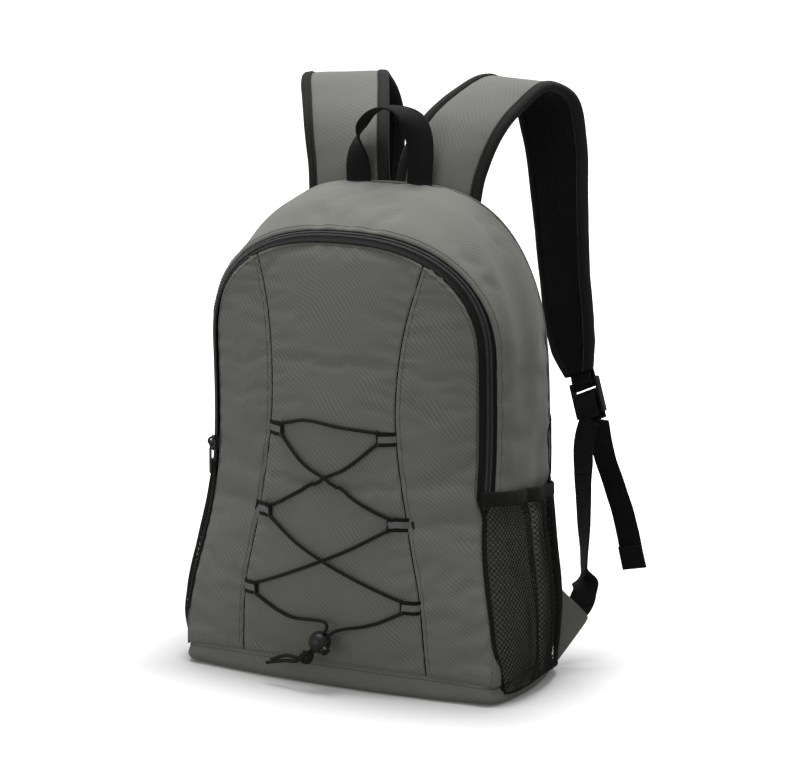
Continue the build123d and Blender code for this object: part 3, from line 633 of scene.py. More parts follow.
def woven(name, color, pitch=0.9, diagonal=0.05, rough=0.85, sheen=0.25, contrast=0.16, mottled=0.05):
    """Plain-woven polyester: threads over and under, faint diagonal figure, mottling and fine fibre noise."""
    n = Nodes(name)
    vector, u, v = n.uv()
    weave = n.times(waves(n, u, pitch * 2), waves(n, v, pitch * 2))
    threads = n.math("MAXIMUM", waves(n, u, pitch), waves(n, v, pitch))
    height = n.scaled(weave, 0.6, n.times(threads, 0.4))
    lean = n.plus(n.times(u, -0.74), n.times(v, 0.67))
    drift = n.times(n.noise(vector, 60.0, 1.0), 22.0)
    figure = waves(n, n.plus(lean, drift), 3.3)
    patch = n.ramp(n.noise(vector, 50.0, 1.0), -0.2, 1.9)
    figure = n.times(figure, n.math("MAXIMUM", patch, 0.25))
    cloudy = n.ramp(n.noise(vector, 26.0, 3.0), 1 - mottled, 1 + mottled)
    fibre = n.ramp(n.noise(vector, 0.55, 2.0), 1 - contrast / 2, 1 + contrast / 2)
    shade = n.times(cloudy, fibre)
    shade = n.times(shade, n.scaled(height, contrast))
    shade = n.times(shade, n.scaled(figure, diagonal))
    normal = n.bump(n.noise(vector, 7.0, 2.0), 0.12, 0.8)
    normal = n.bump(height, 0.35, 0.14, normal)
    color = n.tint(color, shade)
    gloss = n.ramp(n.noise(vector, 5.0), rough - 0.06, rough + 0.06)
    return n.finish(color, gloss, normal, sheen, specular=0.25)


def webbing(name, color, rib=1.5, rough=0.78):
    """Ribbed webbing: rows of short floats along the band."""
    n = Nodes(name)
    vector, u, v = n.uv()
    rows = waves(n, v, rib)
    floats = n.math("SUBTRACT", n.math("MODULO", n.plus(u, 100.0), 4.2), 2.1)
    zig = waves(n, n.plus(v, n.math("ABSOLUTE", floats)), rib * 1.4)
    height = n.plus(n.times(rows, 0.45), n.times(zig, 0.55))
    shade = n.scaled(height, 0.22)
    shade = n.times(shade, n.ramp(n.noise(vector, 3.0, 3.0), 0.8, 1.25))
    normal = n.bump(height, 0.7, 0.3)
    return n.finish(n.tint(color, shade), rough, normal, 0.06, specular=0.2)


def striped_ribbon(name, dark, light):
    """Narrow ribbon with a pale woven stripe along its middle; u runs across it."""
    n = Nodes(name)
    vector, u, v = n.uv()
    far = n.math("ABSOLUTE", u)
    edge = n.math("GREATER_THAN", far, 2.9)
    ribs = waves(n, v, 0.9)
    base = n.mix(edge, light, dark)
    shade = n.times(n.scaled(ribs, 0.14), n.ramp(n.noise(vector, 2.0), 0.85, 1.15))
    return n.finish(n.tint(base, shade), 0.7, n.bump(ribs, 0.5, 0.2), 0.05, specular=0.25)


def braided(name, color):
    """Elastic cord's braided sleeve: two sets of strands winding opposite ways."""
    n = Nodes(name)
    _, u, v = n.uv()
    one = waves(n, n.plus(v, u), 1.5)
    two = waves(n, n.math("SUBTRACT", v, u), 1.5)
    height = n.math("MAXIMUM", one, two)
    shade = n.scaled(height, 0.3)
    return n.finish(n.tint(color, shade), 0.72, n.bump(height, 0.7, 0.25), 0.08, specular=0.3)


def thread(name, color):
    n = Nodes(name)
    _, u, v = n.uv()
    twist = waves(n, n.plus(v, u), 0.6)
    color = n.tint(color, n.scaled(twist, 0.15))
    return n.finish(color, 0.7, n.bump(twist, 0.4, 0.05), 0.05, specular=0.2)


def padding(name, color):
    """Black knitted spacer fabric with small pores."""
    n = Nodes(name)
    vector, u, v = n.uv()
    pores = n.times(waves(n, u, 2.4), waves(n, v, 2.4))
    shade = n.times(n.scaled(pores, 0.3), n.ramp(n.noise(vector, 18.0), 0.8, 1.2))
    return n.finish(n.tint(color, shade), 0.9, n.bump(pores, 0.8, 0.4), 0.05, specular=0.15)


def moulded(name, color, rough=0.38):
    """Injection-moulded plastic with a fine grain and a few soft marks."""
    n = Nodes(name)
    where = n.place()
    grain = n.noise(where, 0.5, 2.0)
    marks = n.noise(where, 6.0, 3.0)
    shade = n.ramp(marks, 0.85, 1.2)
    normal = n.bump(grain, 0.15, 0.06)
    return n.finish(n.tint(color, shade), n.ramp(marks, rough - 0.08, rough + 0.12), normal, specular=0.5)


def enamelled(name, color):
    """Painted die-cast metal, worn a little brighter in places."""
    n = Nodes(name)
    where = n.place()
    marks = n.noise(where, 2.5, 4.0, 0.6)
    shade = n.ramp(marks, 0.6, 2.0)
    return n.finish(n.tint(color, shade), n.ramp(marks, 0.22, 0.45), n.bump(marks, 0.2, 0.08), metal=0.8)


SHELL = (0.196, 0.2, 0.179)
MATERIALS = {
    "shell": woven("shell_fabric", SHELL, diagonal=0.13, contrast=0.26, mottled=0.07),
    "gusset": woven("gusset_fabric", SHELL, diagonal=0.06, contrast=0.24, mottled=0.07),
    "base": woven("base_fabric", (0.18, 0.184, 0.164), diagonal=0.06, contrast=0.24),
    "strap": woven("strap_fabric", (0.187, 0.191, 0.173), diagonal=0.08, contrast=0.24),
    "lining": woven("lining_fabric", (0.011, 0.0115, 0.0095), pitch=0.6, diagonal=0.0, rough=0.9, sheen=0.05),
    "binding": woven("binding_tape", (0.019, 0.019, 0.018), pitch=0.7, diagonal=0.0, contrast=0.3, sheen=0.1),
    "webbing": webbing("webbing_black", (0.0075, 0.0075, 0.007)),
    "elastic": webbing("elastic_black", (0.013, 0.0135, 0.012), rib=1.1),
    "tape": webbing("zip_tape_weave", (0.0105, 0.0105, 0.0105), rib=1.0),
    "ribbon": striped_ribbon("loop_ribbon", (0.006, 0.006, 0.006), (0.2, 0.2, 0.19)),
    "cord": braided("cord_sleeve", (0.009, 0.009, 0.008)),
    "thread": thread("thread_grey", (0.085, 0.087, 0.078)),
    "thread_dark": thread("thread_black", (0.012, 0.012, 0.012)),
    "net": thread("net_yarn", (0.016, 0.0165, 0.014)),
    "pad": padding("spacer_knit", (0.012, 0.012, 0.012)),
    "coil": moulded("coil_nylon", (0.05, 0.05, 0.05), 0.3),
    "plastic": moulded("acetal_black", (0.012, 0.012, 0.012)),
    "board": moulded("board_plastic", (0.04, 0.04, 0.04), 0.6),
    "metal": enamelled("slider_metal", (0.05, 0.05, 0.05)),
    "steel": enamelled("spring_steel", (0.4, 0.4, 0.4)),
}


# ---------------------------------------------------------------- front panels


ARCH_INSET = TAPE_HALF * CHAMFER_OUT + 0.6
# gap at each curved seam of the front, through which the near-black backing behind shows as a painted shaded
# seam line
SEAM_GAP = 0.45
FRONT_FOLD = ("bag", "front_flap", (0, -80, HINGE_Z - 34), (0, -80, HINGE_Z + 44))


def inner_half(z):
    """Half width of the front at its outer edge, against the zip."""
    low = front_half(z) - 1.2 - (TAPE_HALF * CHAMFER_OUT - 0.6) * tape_share(z)
    high = arch_x(BODY_HALF - ARCH_INSET, SHOULDER, FRONT_TOP - ARCH_INSET, FRONT_POWER, z)
    return np.where(z > SHOULDER, np.minimum(low, high), low)


def inner_top(x):
    """Height of the front's top edge at a half width."""
    return arch_z(BODY_HALF - ARCH_INSET, SHOULDER, FRONT_TOP - ARCH_INSET, FRONT_POWER, x)


def roll_edge(grid, normals, distance, depth=1.7, width=2.4):
    """Turns a panel's edge inwards where distance to its seam is small."""
    return grid - normals * (depth * np.exp(-(distance / width) ** 2))[..., None]


def pucker(grid, normals, distance, along, size=0.75, reach=13.0, seed=0.0):
    """Small gathers that run square to a seam and die out away from it."""
    key = np.stack([along / 8.0, distance / 34.0, np.full(along.shape, seed * 4.7)], axis=-1)
    ripple = wobble(key, 1.0, seed) * smooth(distance / 4.0)
    return grid + normals * (size * ripple * np.exp(-distance / reach))[..., None]


def sag(grid, normals, away, reach, size=1.4, seed=0.0, scale=(70.0, 70.0, 110.0)):
    """Broad soft unevenness of filled cloth; it dies out where away, the distance to a seam, is small."""
    swell = size * wobble(grid / np.array(scale), 1.0, seed) * smooth(away / reach)
    return grid + normals * swell[..., None]


def centre_grid(rows, cols):
    """Front centre panel between the two curved seams, from the base tray to the top of the arch."""
    u = np.sin(np.linspace(1, -1, cols) * math.pi / 2 * 0.92) / math.sin(math.pi / 2 * 0.92)
    v = np.linspace(0, 1, rows)
    u, v = np.meshgrid(u, v)
    top = np.full(u.shape, FRONT_TOP - 10.0)
    for _ in range(6):
        top = inner_top(u * seam_x(top))
    low = low_edge(u * seam_x(RISE))
    z = low + (top - low) * v
    x = u * (seam_x(z) - SEAM_GAP)
    return np.stack([x, front_y(x, z), z], axis=-1), u, v


def side_grid(rows, cols):
    """Right-hand side panel between the curved seam and the zip or gusset."""
    tip = FRONT_TOP - 20.0
    for _ in range(8):
        tip = float(inner_top(seam_x(tip)))
    v = 1 - (1 - np.linspace(0, 1, rows)) ** 1.25
    s = np.linspace(1, 0, cols)
    s = 0.55 * (0.5 - 0.5 * np.cos(s * math.pi)) + 0.45 * s
    s, v = np.meshgrid(s, v)
    low = low_edge(seam_x(RISE) + (BASE_HALF - seam_x(RISE)) * s)
    z = low + (tip - 0.6 - low) * v
    inner = seam_x(z) + SEAM_GAP
    x = inner + (inner_half(z) - inner) * s
    return np.stack([x, front_y(x, z), z], axis=-1), s, v


def build_front():
    """Centre and side panels, draped, with rolled seams and gathers."""
    flat, u, v = centre_grid(72, 41)
    pinned = (np.abs(u) > 0.999) | (v < 0.001) | (v > 0.999)
    grid = finer(drape(flat, pinned, 1.6, 0.010, 6.0), 2)
    normals = grid_normals(finer(flat, 2))
    distance = np.maximum(seam_x(grid[..., 2]) - np.abs(grid[..., 0]), 0)
    low = np.maximum(grid[..., 2] - low_edge(grid[..., 0]), 0)
    top = inner_top(grid[..., 0]) - grid[..., 2]
    away = np.minimum(np.minimum(distance, low), top)
    side = np.sign(grid[..., 0])
    grid = sag(grid, normals, away, 30.0, 1.6, 1.0)
    grid = pucker(grid, normals, distance, grid[..., 2] + side * 500, 1.0, 12.0, 2.0)
    grid = pucker(grid, normals, low, grid[..., 0], 1.0, 12.0, 3.0)
    grid = roll_edge(grid, normals, np.minimum(distance, low), 1.2, 1.3)
    centre = shell("front_centre", grid, CLOTH, "shell", "lining")
    finish_piece(centre, FRONT_FOLD, "shell", "front_lower_centre", "flap_centre")

    right, s, v = side_grid(72, 25)
    edge = (s < 0.001) | (s > 0.999) | (v < 0.001) | (v > 0.999)
    panels = [centre]
    for name, mirror, seed in (("right", False, 4.0), ("left", True, 6.0)):
        flat = flip(right)[:, ::-1] if mirror else right
        pinned = edge[:, ::-1] if mirror else edge
        grid = finer(drape(flat, pinned, 1.6, 0.010, 5.0), 2)
        normals = grid_normals(finer(flat, 2))
        x, z = np.abs(grid[..., 0]), grid[..., 2]
        inward, outward = np.maximum(x - seam_x(z), 0), np.maximum(inner_half(z) - x, 0)
        low = np.maximum(z - low_edge(x), 0)
        grid = sag(grid, normals, np.minimum(np.minimum(inward, outward), low), 26.0, 1.8, seed)
        grid = pucker(grid, normals, inward, z, 1.0, 12.0, seed)
        grid = pucker(grid, normals, outward, z, 0.9, 12.0, seed + 1)
        grid = pucker(grid, normals, low, x, 1.0, 12.0, seed + 2)
        grid = roll_edge(grid, normals, np.minimum(inward, low), 1.2, 1.3)
        grid = roll_edge(grid, normals, outward, 0.9, 2.0)
        piece = shell(f"front_side_{name}", grid, CLOTH, "shell", "lining")
        finish_piece(piece, FRONT_FOLD, "shell", f"front_lower_{name}", f"flap_{name}")
        panels.append(piece)
    return panels


def surface_of(objects):
    """Ray tree over several objects' meshes."""
    points, faces, shift = [], [], 0
    for obj in objects:
        points += [v.co.copy() for v in obj.data.vertices]
        faces += [[k + shift for k in p.vertices] for p in obj.data.polygons]
        shift = len(points)
    return BVHTree.FromPolygons(points, faces)


def on_front(tree, x, z, lift):
    """Points lift in front of the draped front, and the outward normals there."""
    spots, normals = [], []
    for a, b in zip(np.atleast_1d(x), np.atleast_1d(z)):
        hit, normal, _, _ = tree.ray_cast(Vector((a * MM, -0.4, b * MM)), Vector((0, 1, 0)))
        if hit is None:
            y = float(front_y(a, b))
            hit, normal = Vector((a * MM, y * MM, b * MM)), Vector((0, -1, 0))
        if normal.y > 0:
            normal = -normal
        spots.append(np.array(hit) / MM)
        normals.append(np.array(normal))
    spots, normals = np.array(spots), np.array(normals)
    lift = np.broadcast_to(lift, (len(spots),))[:, None]
    return spots + normals * lift, normals


def front_stitching(tree):
    """Near-black seam allowance behind the curved seams, whose dark colour shows through the gap between the
    panels as painted shade in the seam, and stitches beside them and round the inside of the zip.
    """
    z = np.linspace(RISE - 1, 386, 130)
    for side, name in ((1, "right"), (-1, "left")):
        x = side * seam_x(z)
        spots = np.stack([x, front_y(x, z) + 2.9, z], axis=1)
        run = tangents(spots)
        across = np.cross(run, [0, -1.0, 0])
        # near-black lining cloth behind the seam gap: partly the real seam allowance, partly painted shade
        # that draws the seam line
        tape = solid(f"seam_backing_painted_shade_{name}", band(spots, across, 11.0, 0.5), "lining")
        finish_piece(tape, FRONT_FOLD, "shell")
    z = np.linspace(RISE + 6, 384, 130)
    paths, normals = [], []
    for side in (-1, 1):
        p, n = on_front(tree, side * (seam_x(z) + 4.2), z, 0.0)
        paths.append(p)
        normals.append(n)
    piece = stitches("front_seam_stitching", paths, normals, "thread")
    finish_piece(piece, FRONT_FOLD, "shell")
    z = np.linspace(ZIP_START, SHOULDER, 40)[:-1]
    turn = np.linspace(0, math.pi / 2, 60)
    inset = ARCH_INSET + 3.0
    ax, az = arch_point(BODY_HALF - inset, SHOULDER, FRONT_TOP - inset, FRONT_POWER, turn)
    x = np.concatenate([np.full(len(z), BODY_HALF - inset), ax])
    z = np.concatenate([z, az])
    x, z = np.concatenate([x, -x[-2::-1]]), np.concatenate([z, z[-2::-1]])
    p, n = on_front(tree, x, z, 0.0)
    piece = stitches("zip_front_stitching", [p], [n], "thread")
    finish_piece(piece, FRONT_FOLD, "shell")


# ---------------------------------------------------------------- gusset, base and back


def build_gusset():
    """One long draped panel from zip to back seam, up one side, over the top and down the other."""
    seam, out, rear = seam_lines(float(low_edge(BASE_HALF)) - 0.4, 121)
    share = tape_share(seam[:, 2])[:, None]
    cover = 7.6 - 3.2 * smooth((seam[:, 2:] - SHOULDER) / 90)
    front = seam + tape_direction(out) * (cover * share) + tape_normal(out) * (2.0 * share)
    rear = rear - np.array([0, 1.2, 0])
    across = rear - front
    normal = unit(out - unit(across) * np.sum(out * unit(across), axis=1, keepdims=True))
    t = np.linspace(1, 0, 21)[None, :, None]
    top = smooth((seam[:, 2] - 260) / 150)[:, None, None]
    crown = normal[:, None] * (3.0 + 4.0 * top) * 4 * t * (1 - t)
    flat = front[:, None] * (1 - t) + rear[:, None] * t + crown
    pinned = np.zeros(flat.shape[:2], bool)
    pinned[:, [0, -1]] = True
    pinned[[0, -1]] = True
    grid = finer(drape(flat, pinned, 1.2, 0.012, 5.0), 2)
    normals = grid_normals(finer(flat, 2))
    rows, cols, _ = grid.shape
    width = np.linalg.norm(grid[:, -1] - grid[:, 0], axis=1)[:, None]
    share = np.linspace(0, 1, cols)[None, :]
    from_rear, from_front = width * share, width * (1 - share)
    along = lengths(grid[:, cols // 2])[:, None] + np.zeros((1, cols))
    away = np.minimum(from_rear, from_front)
    grid = sag(grid, normals, away, 28.0, 3.2, 9.0, (52.0, 30.0, 110.0))
    grid = pucker(grid, normals, from_front, along, 1.0, 12.0, 11.0)
    grid = pucker(grid, normals, from_rear, along, 1.1, 13.0, 12.0)
    grid = roll_edge(grid, normals, from_front, 0.5, 1.4)
    grid = roll_edge(grid, normals, from_rear, 1.3, 1.8)
    piece = shell("gusset_panel", grid, CLOTH, "gusset", "lining")
    finish_piece(piece, "bag", "shell", "gusset")
    normals = grid_normals(grid)
    column = cols - 3
    start = int(np.argmax(grid[:, column, 2] > ZIP_START))
    keep = slice(start, rows - start)
    rim = stitches("zip_gusset_stitching", [grid[keep, column]], [normals[keep, column]], "thread")
    finish_piece(rim, "bag", "shell")


def build_back_seam():
    """Narrow cloth binding where the back panel meets the gusset."""
    _, out, rear = seam_lines(RISE, 240)
    path = rear + np.array([0, -0.4, 0]) - out * 0.2
    piece = tubes("back_seam_piping", [path], 1.3, "gusset", 10)
    finish_piece(piece, "bag", "shell")


def base_ring(count):
    """Plan outline of the base seam: crowned front, straight sides and back, soft corners."""
    x = np.linspace(-1, 1, 61) * (BASE_HALF - 1)
    front = np.stack([x, front_y(x, RISE) - 0.4], axis=1)
    rear = rear_y(RISE)
    right = [(BASE_HALF + 0.2, seam_y(RISE) + 3), (BASE_HALF + 0.6, 0), (BASE_HALF - 1.4, rear - 4)]
    back = [(BASE_HALF - 6, rear + 0.6), (0, rear + 1.2), (-BASE_HALF + 6, rear + 0.6)]
    left = [(-px, py) for px, py in right[::-1]]
    loop = np.concatenate([front, right, back, left, front[:1]])
    fine = resample(loop, 901)[:-1]
    kernel = np.hanning(33)
    kernel /= kernel.sum()
    looped = [np.concatenate([column[-16:], column, column[:16]]) for column in fine.T]
    soft = np.stack([np.convolve(column, kernel, mode="valid") for column in looped], axis=1)
    return resample(np.concatenate([soft, soft[:1]]), count + 1)[:-1]


def build_base():
    """Soft tray: floor, rounded bottom edge that lifts at the corners, and a low wall up to the seam."""
    count, edge = 220, 8.0
    ring = base_ring(count)
    run = unit(np.roll(ring, -1, axis=0) - np.roll(ring, 1, axis=0))
    out = np.stack([run[:, 1], -run[:, 0]], axis=1)
    top = low_edge(ring[:, 0])
    middle = np.array([0.0, ring[:, 1].mean()])
    corner = np.abs(ring[:, 0] / BASE_HALF) ** 6 * np.abs((ring[:, 1] - middle[1]) / 70) ** 4
    lift = 2.5 * np.minimum(corner, 1.0)
    belly = 4.0 * (1 - (ring[:, 0] / BASE_HALF) ** 2) * (ring[:, 1] < 0)
    on_wall = np.abs(ring[:, 0]) > 140
    belly = belly + 11.0 * np.maximum(1 - ((ring[:, 1] - middle[1]) / 68) ** 2, 0) * on_wall
    profile = [(-2.0, 1.0), (-0.9, 0.95), (-0.3, 0.86), (0.4, 0.68), (0.8, 0.5)]
    turn = np.radians(np.linspace(0, 90, 8))
    profile += [(0.8 - edge + edge * math.cos(a), 0.38 * (1 - math.sin(a))) for a in turn]
    rows = []
    for inset, share in profile:
        swell = 0.9 * wobble(np.column_stack([ring, np.full(count, share * 40)]), 26.0, 3.0) * (share < 0.97)
        reach = inset + swell * min(1.0, share * 4 + 0.3) + belly * (1 - share)
        z = lift * (1 - share) + top * share
        rows.append(np.column_stack([ring + out * reach[:, None], z]))
    flat = rows[-1][:, :2]
    for share in (0.93, 0.8, 0.55, 0.25):
        z = lift * max(0.0, 1 - (1 - share) * 8)
        rows.append(np.column_stack([middle + (flat - middle) * share, z]))
    outer = np.array(rows)
    wrapped = np.concatenate([outer[:, -1:], outer, outer[:, :1]], axis=1)
    normals = grid_normals(wrapped)[:, 1:-1]
    if normals[3, 0].dot(np.append(out[0], 0)) < 0:
        normals = -normals
    inner = outer - normals * 1.0
    total = outer.shape[0] * count
    points = np.concatenate([outer.reshape(-1, 3), inner.reshape(-1, 3)])
    quads = grid_faces(len(rows), count, close_cols=True)
    faces = [list(f) for f in quads] + [list(f[::-1] + total) for f in quads]
    faces += [[(k + 1) % count, k, k + total, (k + 1) % count + total] for k in range(count)]
    last = (len(rows) - 1) * count
    faces.append([last + k for k in range(count)])
    faces.append([last + k + total for k in range(count - 1, -1, -1)])
    uv = np.stack(np.meshgrid(lengths(ring), lengths(outer[:, 0])), axis=-1).reshape(-1, 2)
    piece = solid("base_tray", (points, faces, np.concatenate([uv, uv])), "base")
    finish_piece(piece, "bag", "shell", "base_panel")
    path, side = outer[2], np.column_stack([out, np.zeros(count)])
    path, side = np.concatenate([path, path[:1]]), np.concatenate([side, side[:1]])
    seam = stitches("base_stitching", [path], [side], "thread")
    finish_piece(seam, "bag", "shell")


def back_grid(rows, cols, lift):
    """Back panel as a grid: columns fan out to the arch, rows run up from the base."""
    u = np.sin(np.linspace(-1, 1, cols) * math.pi / 2)
    v = np.linspace(0, 1, rows)
    u, v = np.meshgrid(u, v)
    half, top = BACK_HALF - 1.5, BACK_TOP - 2.0
    arch = np.maximum(1 - np.abs(u) ** BACK_POWER, 0) ** (1 / BACK_POWER)
    high = BACK_SHOULDER + (top - BACK_SHOULDER) * arch
    z = RISE + (high - RISE) * v
    x = u * np.where(z < BACK_SHOULDER, rear_half(z) - 1.5, half)
    return np.stack([x, rear_y(z) + lift, z], axis=-1), u, v


def build_back():
    """Padded back panel: a spacer-knit face sewn into pads over thin foam, and a woven lining behind."""
    flat, u, v = back_grid(61, 61, 1.0)
    if grid_normals(flat)[30, 30, 1] < 0:
        flat, u, v = flat[:, ::-1], u[:, ::-1], v[:, ::-1]

    def to_channel(x, z):
        upright = np.abs(np.abs(x) - 34) + 1e3 * ((z < 60) | (z > 400))
        level = np.abs(z - (190 - np.abs(x) * 0.25)) + 1e3 * (np.abs(x) < 34)
        return np.minimum(upright, level)

    channel = to_channel(flat[..., 0], flat[..., 2])
    pinned = (np.abs(u) > 0.998) | (v < 0.001) | (v > 0.999) | (channel < 3.2)
    grid = finer(drape(flat, pinned, 4.0, 0.02, 8.0, 8.0), 2)
    normals = grid_normals(finer(flat, 2))
    x, z = grid[..., 0], grid[..., 2]
    channel = to_channel(x, z)
    grid = pucker(grid, normals, channel, z + x, 0.8, 9.0, 14.0)
    grid = roll_edge(grid, normals, channel, 1.6, 2.2)
    face = shell("back_pad_face", grid, 3.4, "pad", "pad")
    finish_piece(face, "bag", "lining", "back_panel_cover", "back_panel_foam")
    inside, _, _ = back_grid(40, 41, -4.6)
    inside[..., 0] *= 0.985
    inside = inside - np.array([0, 1.0, 0]) * (0.8 * wobble(inside, 40.0, 5.0))[..., None]
    lining = shell("back_lining", facing(inside, 20, 20, (0, -1, 0)), 0.7, "lining")
    finish_piece(lining, "bag", "lining", "back_panel_lining")


# ---------------------------------------------------------------- zip


def zip_strip(name, seam, out, inner, outer, rise, body, stands_for):
    """One side of the zip's tape: a thin woven band with a slight crown that narrows towards its feet."""
    d, n = tape_direction(out), tape_normal(out)
    share = np.maximum(tape_share(seam[:, 2]), 0.12)[:, None, None]
    t = np.linspace(1, 0, 7)[None, :, None]
    reach = (inner + (outer - inner) * t) * share
    grid = seam[:, None] + d[:, None] * reach + n[:, None] * (rise * (1 - t) ** 2 * share + t * (1 - t))
    piece = shell(name, grid, 0.7, "tape")
    return finish_piece(piece, body, "zip_tape", *stands_for)


def zip_coil(name, seam, out, side, body, stands_for, phase):
    """Half of the coil: a row of rounded nylon loops over a core cord."""
    d, n = tape_direction(out), tape_normal(out)
    total = np.linalg.norm(np.diff(seam, axis=0), axis=1).sum()
    pitch = 1.55
    count = int(total / pitch)
    fine = resample(np.concatenate([seam, d, n], axis=1), count * 2 + 1)[phase::2]
    parts = []
    arc = [(0.15, 0.1), (0.3, 0.95), (0.9, 1.45), (2.0, 1.45), (2.9, 1.1), (3.1, 0.2)]
    for row in fine:
        p, across, up = row[:3], unit(row[3:6]), unit(row[6:9])
        loop = np.array([p + across * side * a + up * b for a, b in arc])
        parts.append(tube(loop, 0.42, 6, caps=False))
    core = seam + d * (side * 1.8) + n * 0.75
    parts.append(tube(core, 0.7, 6))
    return finish_piece(solid(name, join(parts), "coil"), body, "zip_coil", *stands_for)


def build_zip():
    """Tapes and coils of both halves: the gusset's half stays with the bag."""
    seam, out, _ = seam_lines(ZIP_START - 22, 210)
    zip_strip("zip_tape_rear", seam, out, 0.1, TAPE_HALF + 1.2, 0.0, "bag", ("zip_tape_gusset",))
    zip_strip("zip_tape_front", seam, out, -TAPE_HALF - 2.4, -0.1, 1.6, FRONT_FOLD,
              ("zip_tape_flap", "zip_tape_foot"))
    seam, out, _ = seam_lines(ZIP_START - 12, 200)
    zip_coil("zip_coil_rear", seam, out, 1, "bag", ("zip_coil_gusset",), 0)
    zip_coil("zip_coil_front", seam, out, -1, FRONT_FOLD, ("zip_coil_flap", "zip_coil_foot"), 1)


# ---------------------------------------------------------------- pockets


POCKET_FOOT = 9.0
NET_PITCH, NET_YARN = 4.1, 0.42
ELASTIC_SECTION = [(0.7, -2.2), (1.5, -1.6), (1.9, 1.0), (1.8, 4.5), (1.9, 8.0), (1.5, 10.4), (0.7, 11.0)]
POCKET_MOUTH = (178.0, 163.0)  # height of the net's top edge at the front and at the back


def pocket_grid(rows, cols):
    """Right-hand mesh pocket: stands off the gusset and is gathered into its mouth and its lower edge."""
    t = np.linspace(0.0, 1.0, cols)[None, :]
    v = np.linspace(0, 1, rows)[:, None]
    z_front, z_rear = (POCKET_FOOT + (top - POCKET_FOOT) * v for top in POCKET_MOUTH)
    open_zip = tape_share(z_front)
    tuck = 15.0 * (1 - smooth((z_front - POCKET_FOOT) / 48))
    stand_off = 1.2 - 2.6 * smooth((z_front - POCKET_FOOT - 20) / 36)
    front = np.stack([front_half(z_front) + stand_off - TAPE_HALF * 0.5 * open_zip,
                      edge_y(np.maximum(z_front, 28)) - 0.6 + tuck, z_front], axis=-1)
    rear = np.stack([rear_half(z_rear), rear_y(np.maximum(z_rear, 28)) - 2, z_rear], axis=-1)
    base = front * (1 - t[..., None]) + rear * t[..., None]
    full = (4 * t * (1 - t)) ** 0.62
    stand = 6.0 + 14.0 * np.sin(math.pi * np.minimum(1.0, 0.14 + 0.58 * v)) ** 1.1
    pleat = np.exp(-((t - 0.44) / 0.032) ** 2) * 11.0 + np.exp(-((t - 0.70) / 0.04) ** 2) * 8.0
    pleat = pleat * smooth(v / 0.12) * (0.45 + 0.55 * v)
    key = np.stack([base[..., 1] / 10, base[..., 2] / 60, base[..., 0] * 0], axis=-1)
    ripple = 1.8 * wobble(key, 1.0, 3.0)
    lift = 1.8 + (3.0 + stand) * full - pleat + ripple * full
    scallop = 5.0 * np.sin(math.pi * t) ** 2 * (1 - v) ** 6
    lift = np.maximum(lift, 1.6) - 1.5 * np.exp(-t / 0.03)
    grid = base + np.array([1.0, 0, 0]) * lift[..., None]
    return grid + np.array([0, 0, 1.0]) * scallop[..., None]


def net(name, grid, pitch, radius):
    """Diamond net of yarn over a surface grid, as crossing tubes with the free edges left to the bindings."""
    rows, cols, _ = grid.shape
    size_u = np.linalg.norm(np.diff(grid, axis=1), axis=2).sum(axis=1).mean()
    size_v = np.linalg.norm(np.diff(grid, axis=0), axis=2).sum(axis=0).mean()

    def at(u, v):
        c, r = np.clip(u / size_u, 0, 1) * (cols - 1), np.clip(v / size_v, 0, 1) * (rows - 1)
        c0, r0 = np.minimum(c.astype(int), cols - 2), np.minimum(r.astype(int), rows - 2)
        fc, fr = (c - c0)[:, None], (r - r0)[:, None]
        low = grid[r0, c0] * (1 - fc) + grid[r0, c0 + 1] * fc
        high = grid[r0 + 1, c0] * (1 - fc) + grid[r0 + 1, c0 + 1] * fc
        return low * (1 - fr) + high * fr

    parts = []
    slope = 1.15
    for sign in (-1, 1):
        span = size_u + size_v / slope
        for k in range(int(span / pitch) + 1):
            offset = k * pitch
            u = np.arange(0, size_u + 1.0, 2.0)
            v = (offset - u) * slope if sign > 0 else (u - size_u + offset) * slope
            keep = (v >= 0) & (v <= size_v)
            if keep.sum() < 3:
                continue
            u, v = u[keep], v[keep]
            path = at(u, v)
            path = path + np.array([0.22 * sign, 0, 0])
            parts.append(tube(path, radius, 4, caps=False))
    return solid(name, join(parts), "net", flat=True)


def build_pockets():
    """Mesh pockets with their elastic bindings."""
    grid = pocket_grid(60, 96)
    for side in ("right", "left"):
        shape, outward = on_side(grid, side), on_side(np.array([1.0, 0, 0]), side)
        piece = net(f"pocket_net_{side}", shape, NET_PITCH, NET_YARN)
        finish_piece(piece, "bag", "mesh", f"pocket_mesh_{side}")
        for label, border in (("rear", shape[:, -13:]), ("front", shape[:, :2])):
            piece = shell(f"pocket_border_{label}_{side}", facing(border, 30, 0, outward), 0.8, "lining")
            finish_piece(piece, "bag", "mesh")
        top = resample(grid[-1], 90)
        for _ in range(40):
            top[1:-1] = (top[:-2] + top[1:-1] * 2 + top[2:]) / 4
        wave = 0.15 * np.sin(np.arange(90) * 0.9) * smooth(np.linspace(0, 8, 90))
        rows = []
        for puff, h in ELASTIC_SECTION:
            rows.append(top + np.column_stack([puff + wave * (puff > 1), np.zeros(90), np.full(90, h)]))
        strip = facing(on_side(np.array(rows), side), 3, 40, outward)
        uv = grid_uv(strip.swapaxes(0, 1)).swapaxes(0, 1)
        binding = shell(f"pocket_elastic_{side}", strip, 2.0, "elastic", uv=uv)
        finish_piece(binding, "bag", "binding", f"pocket_binding_{side}")
        foot = resample(grid[0] + np.array([0.3, 0, 0.5]), 60)
        edge = resample(grid[:, 0], 50) + np.array([0.2, 0, 0])
        rear = resample(grid[:, -1], 50) + np.array([0.4, 0, 0])
        hems = [on_side(path, side) for path in (foot, edge, rear)]
        hem = tubes(f"pocket_hem_{side}", hems, 0.9, "lining", 6)
        finish_piece(hem, "bag", "mesh")


# ---------------------------------------------------------------- handle


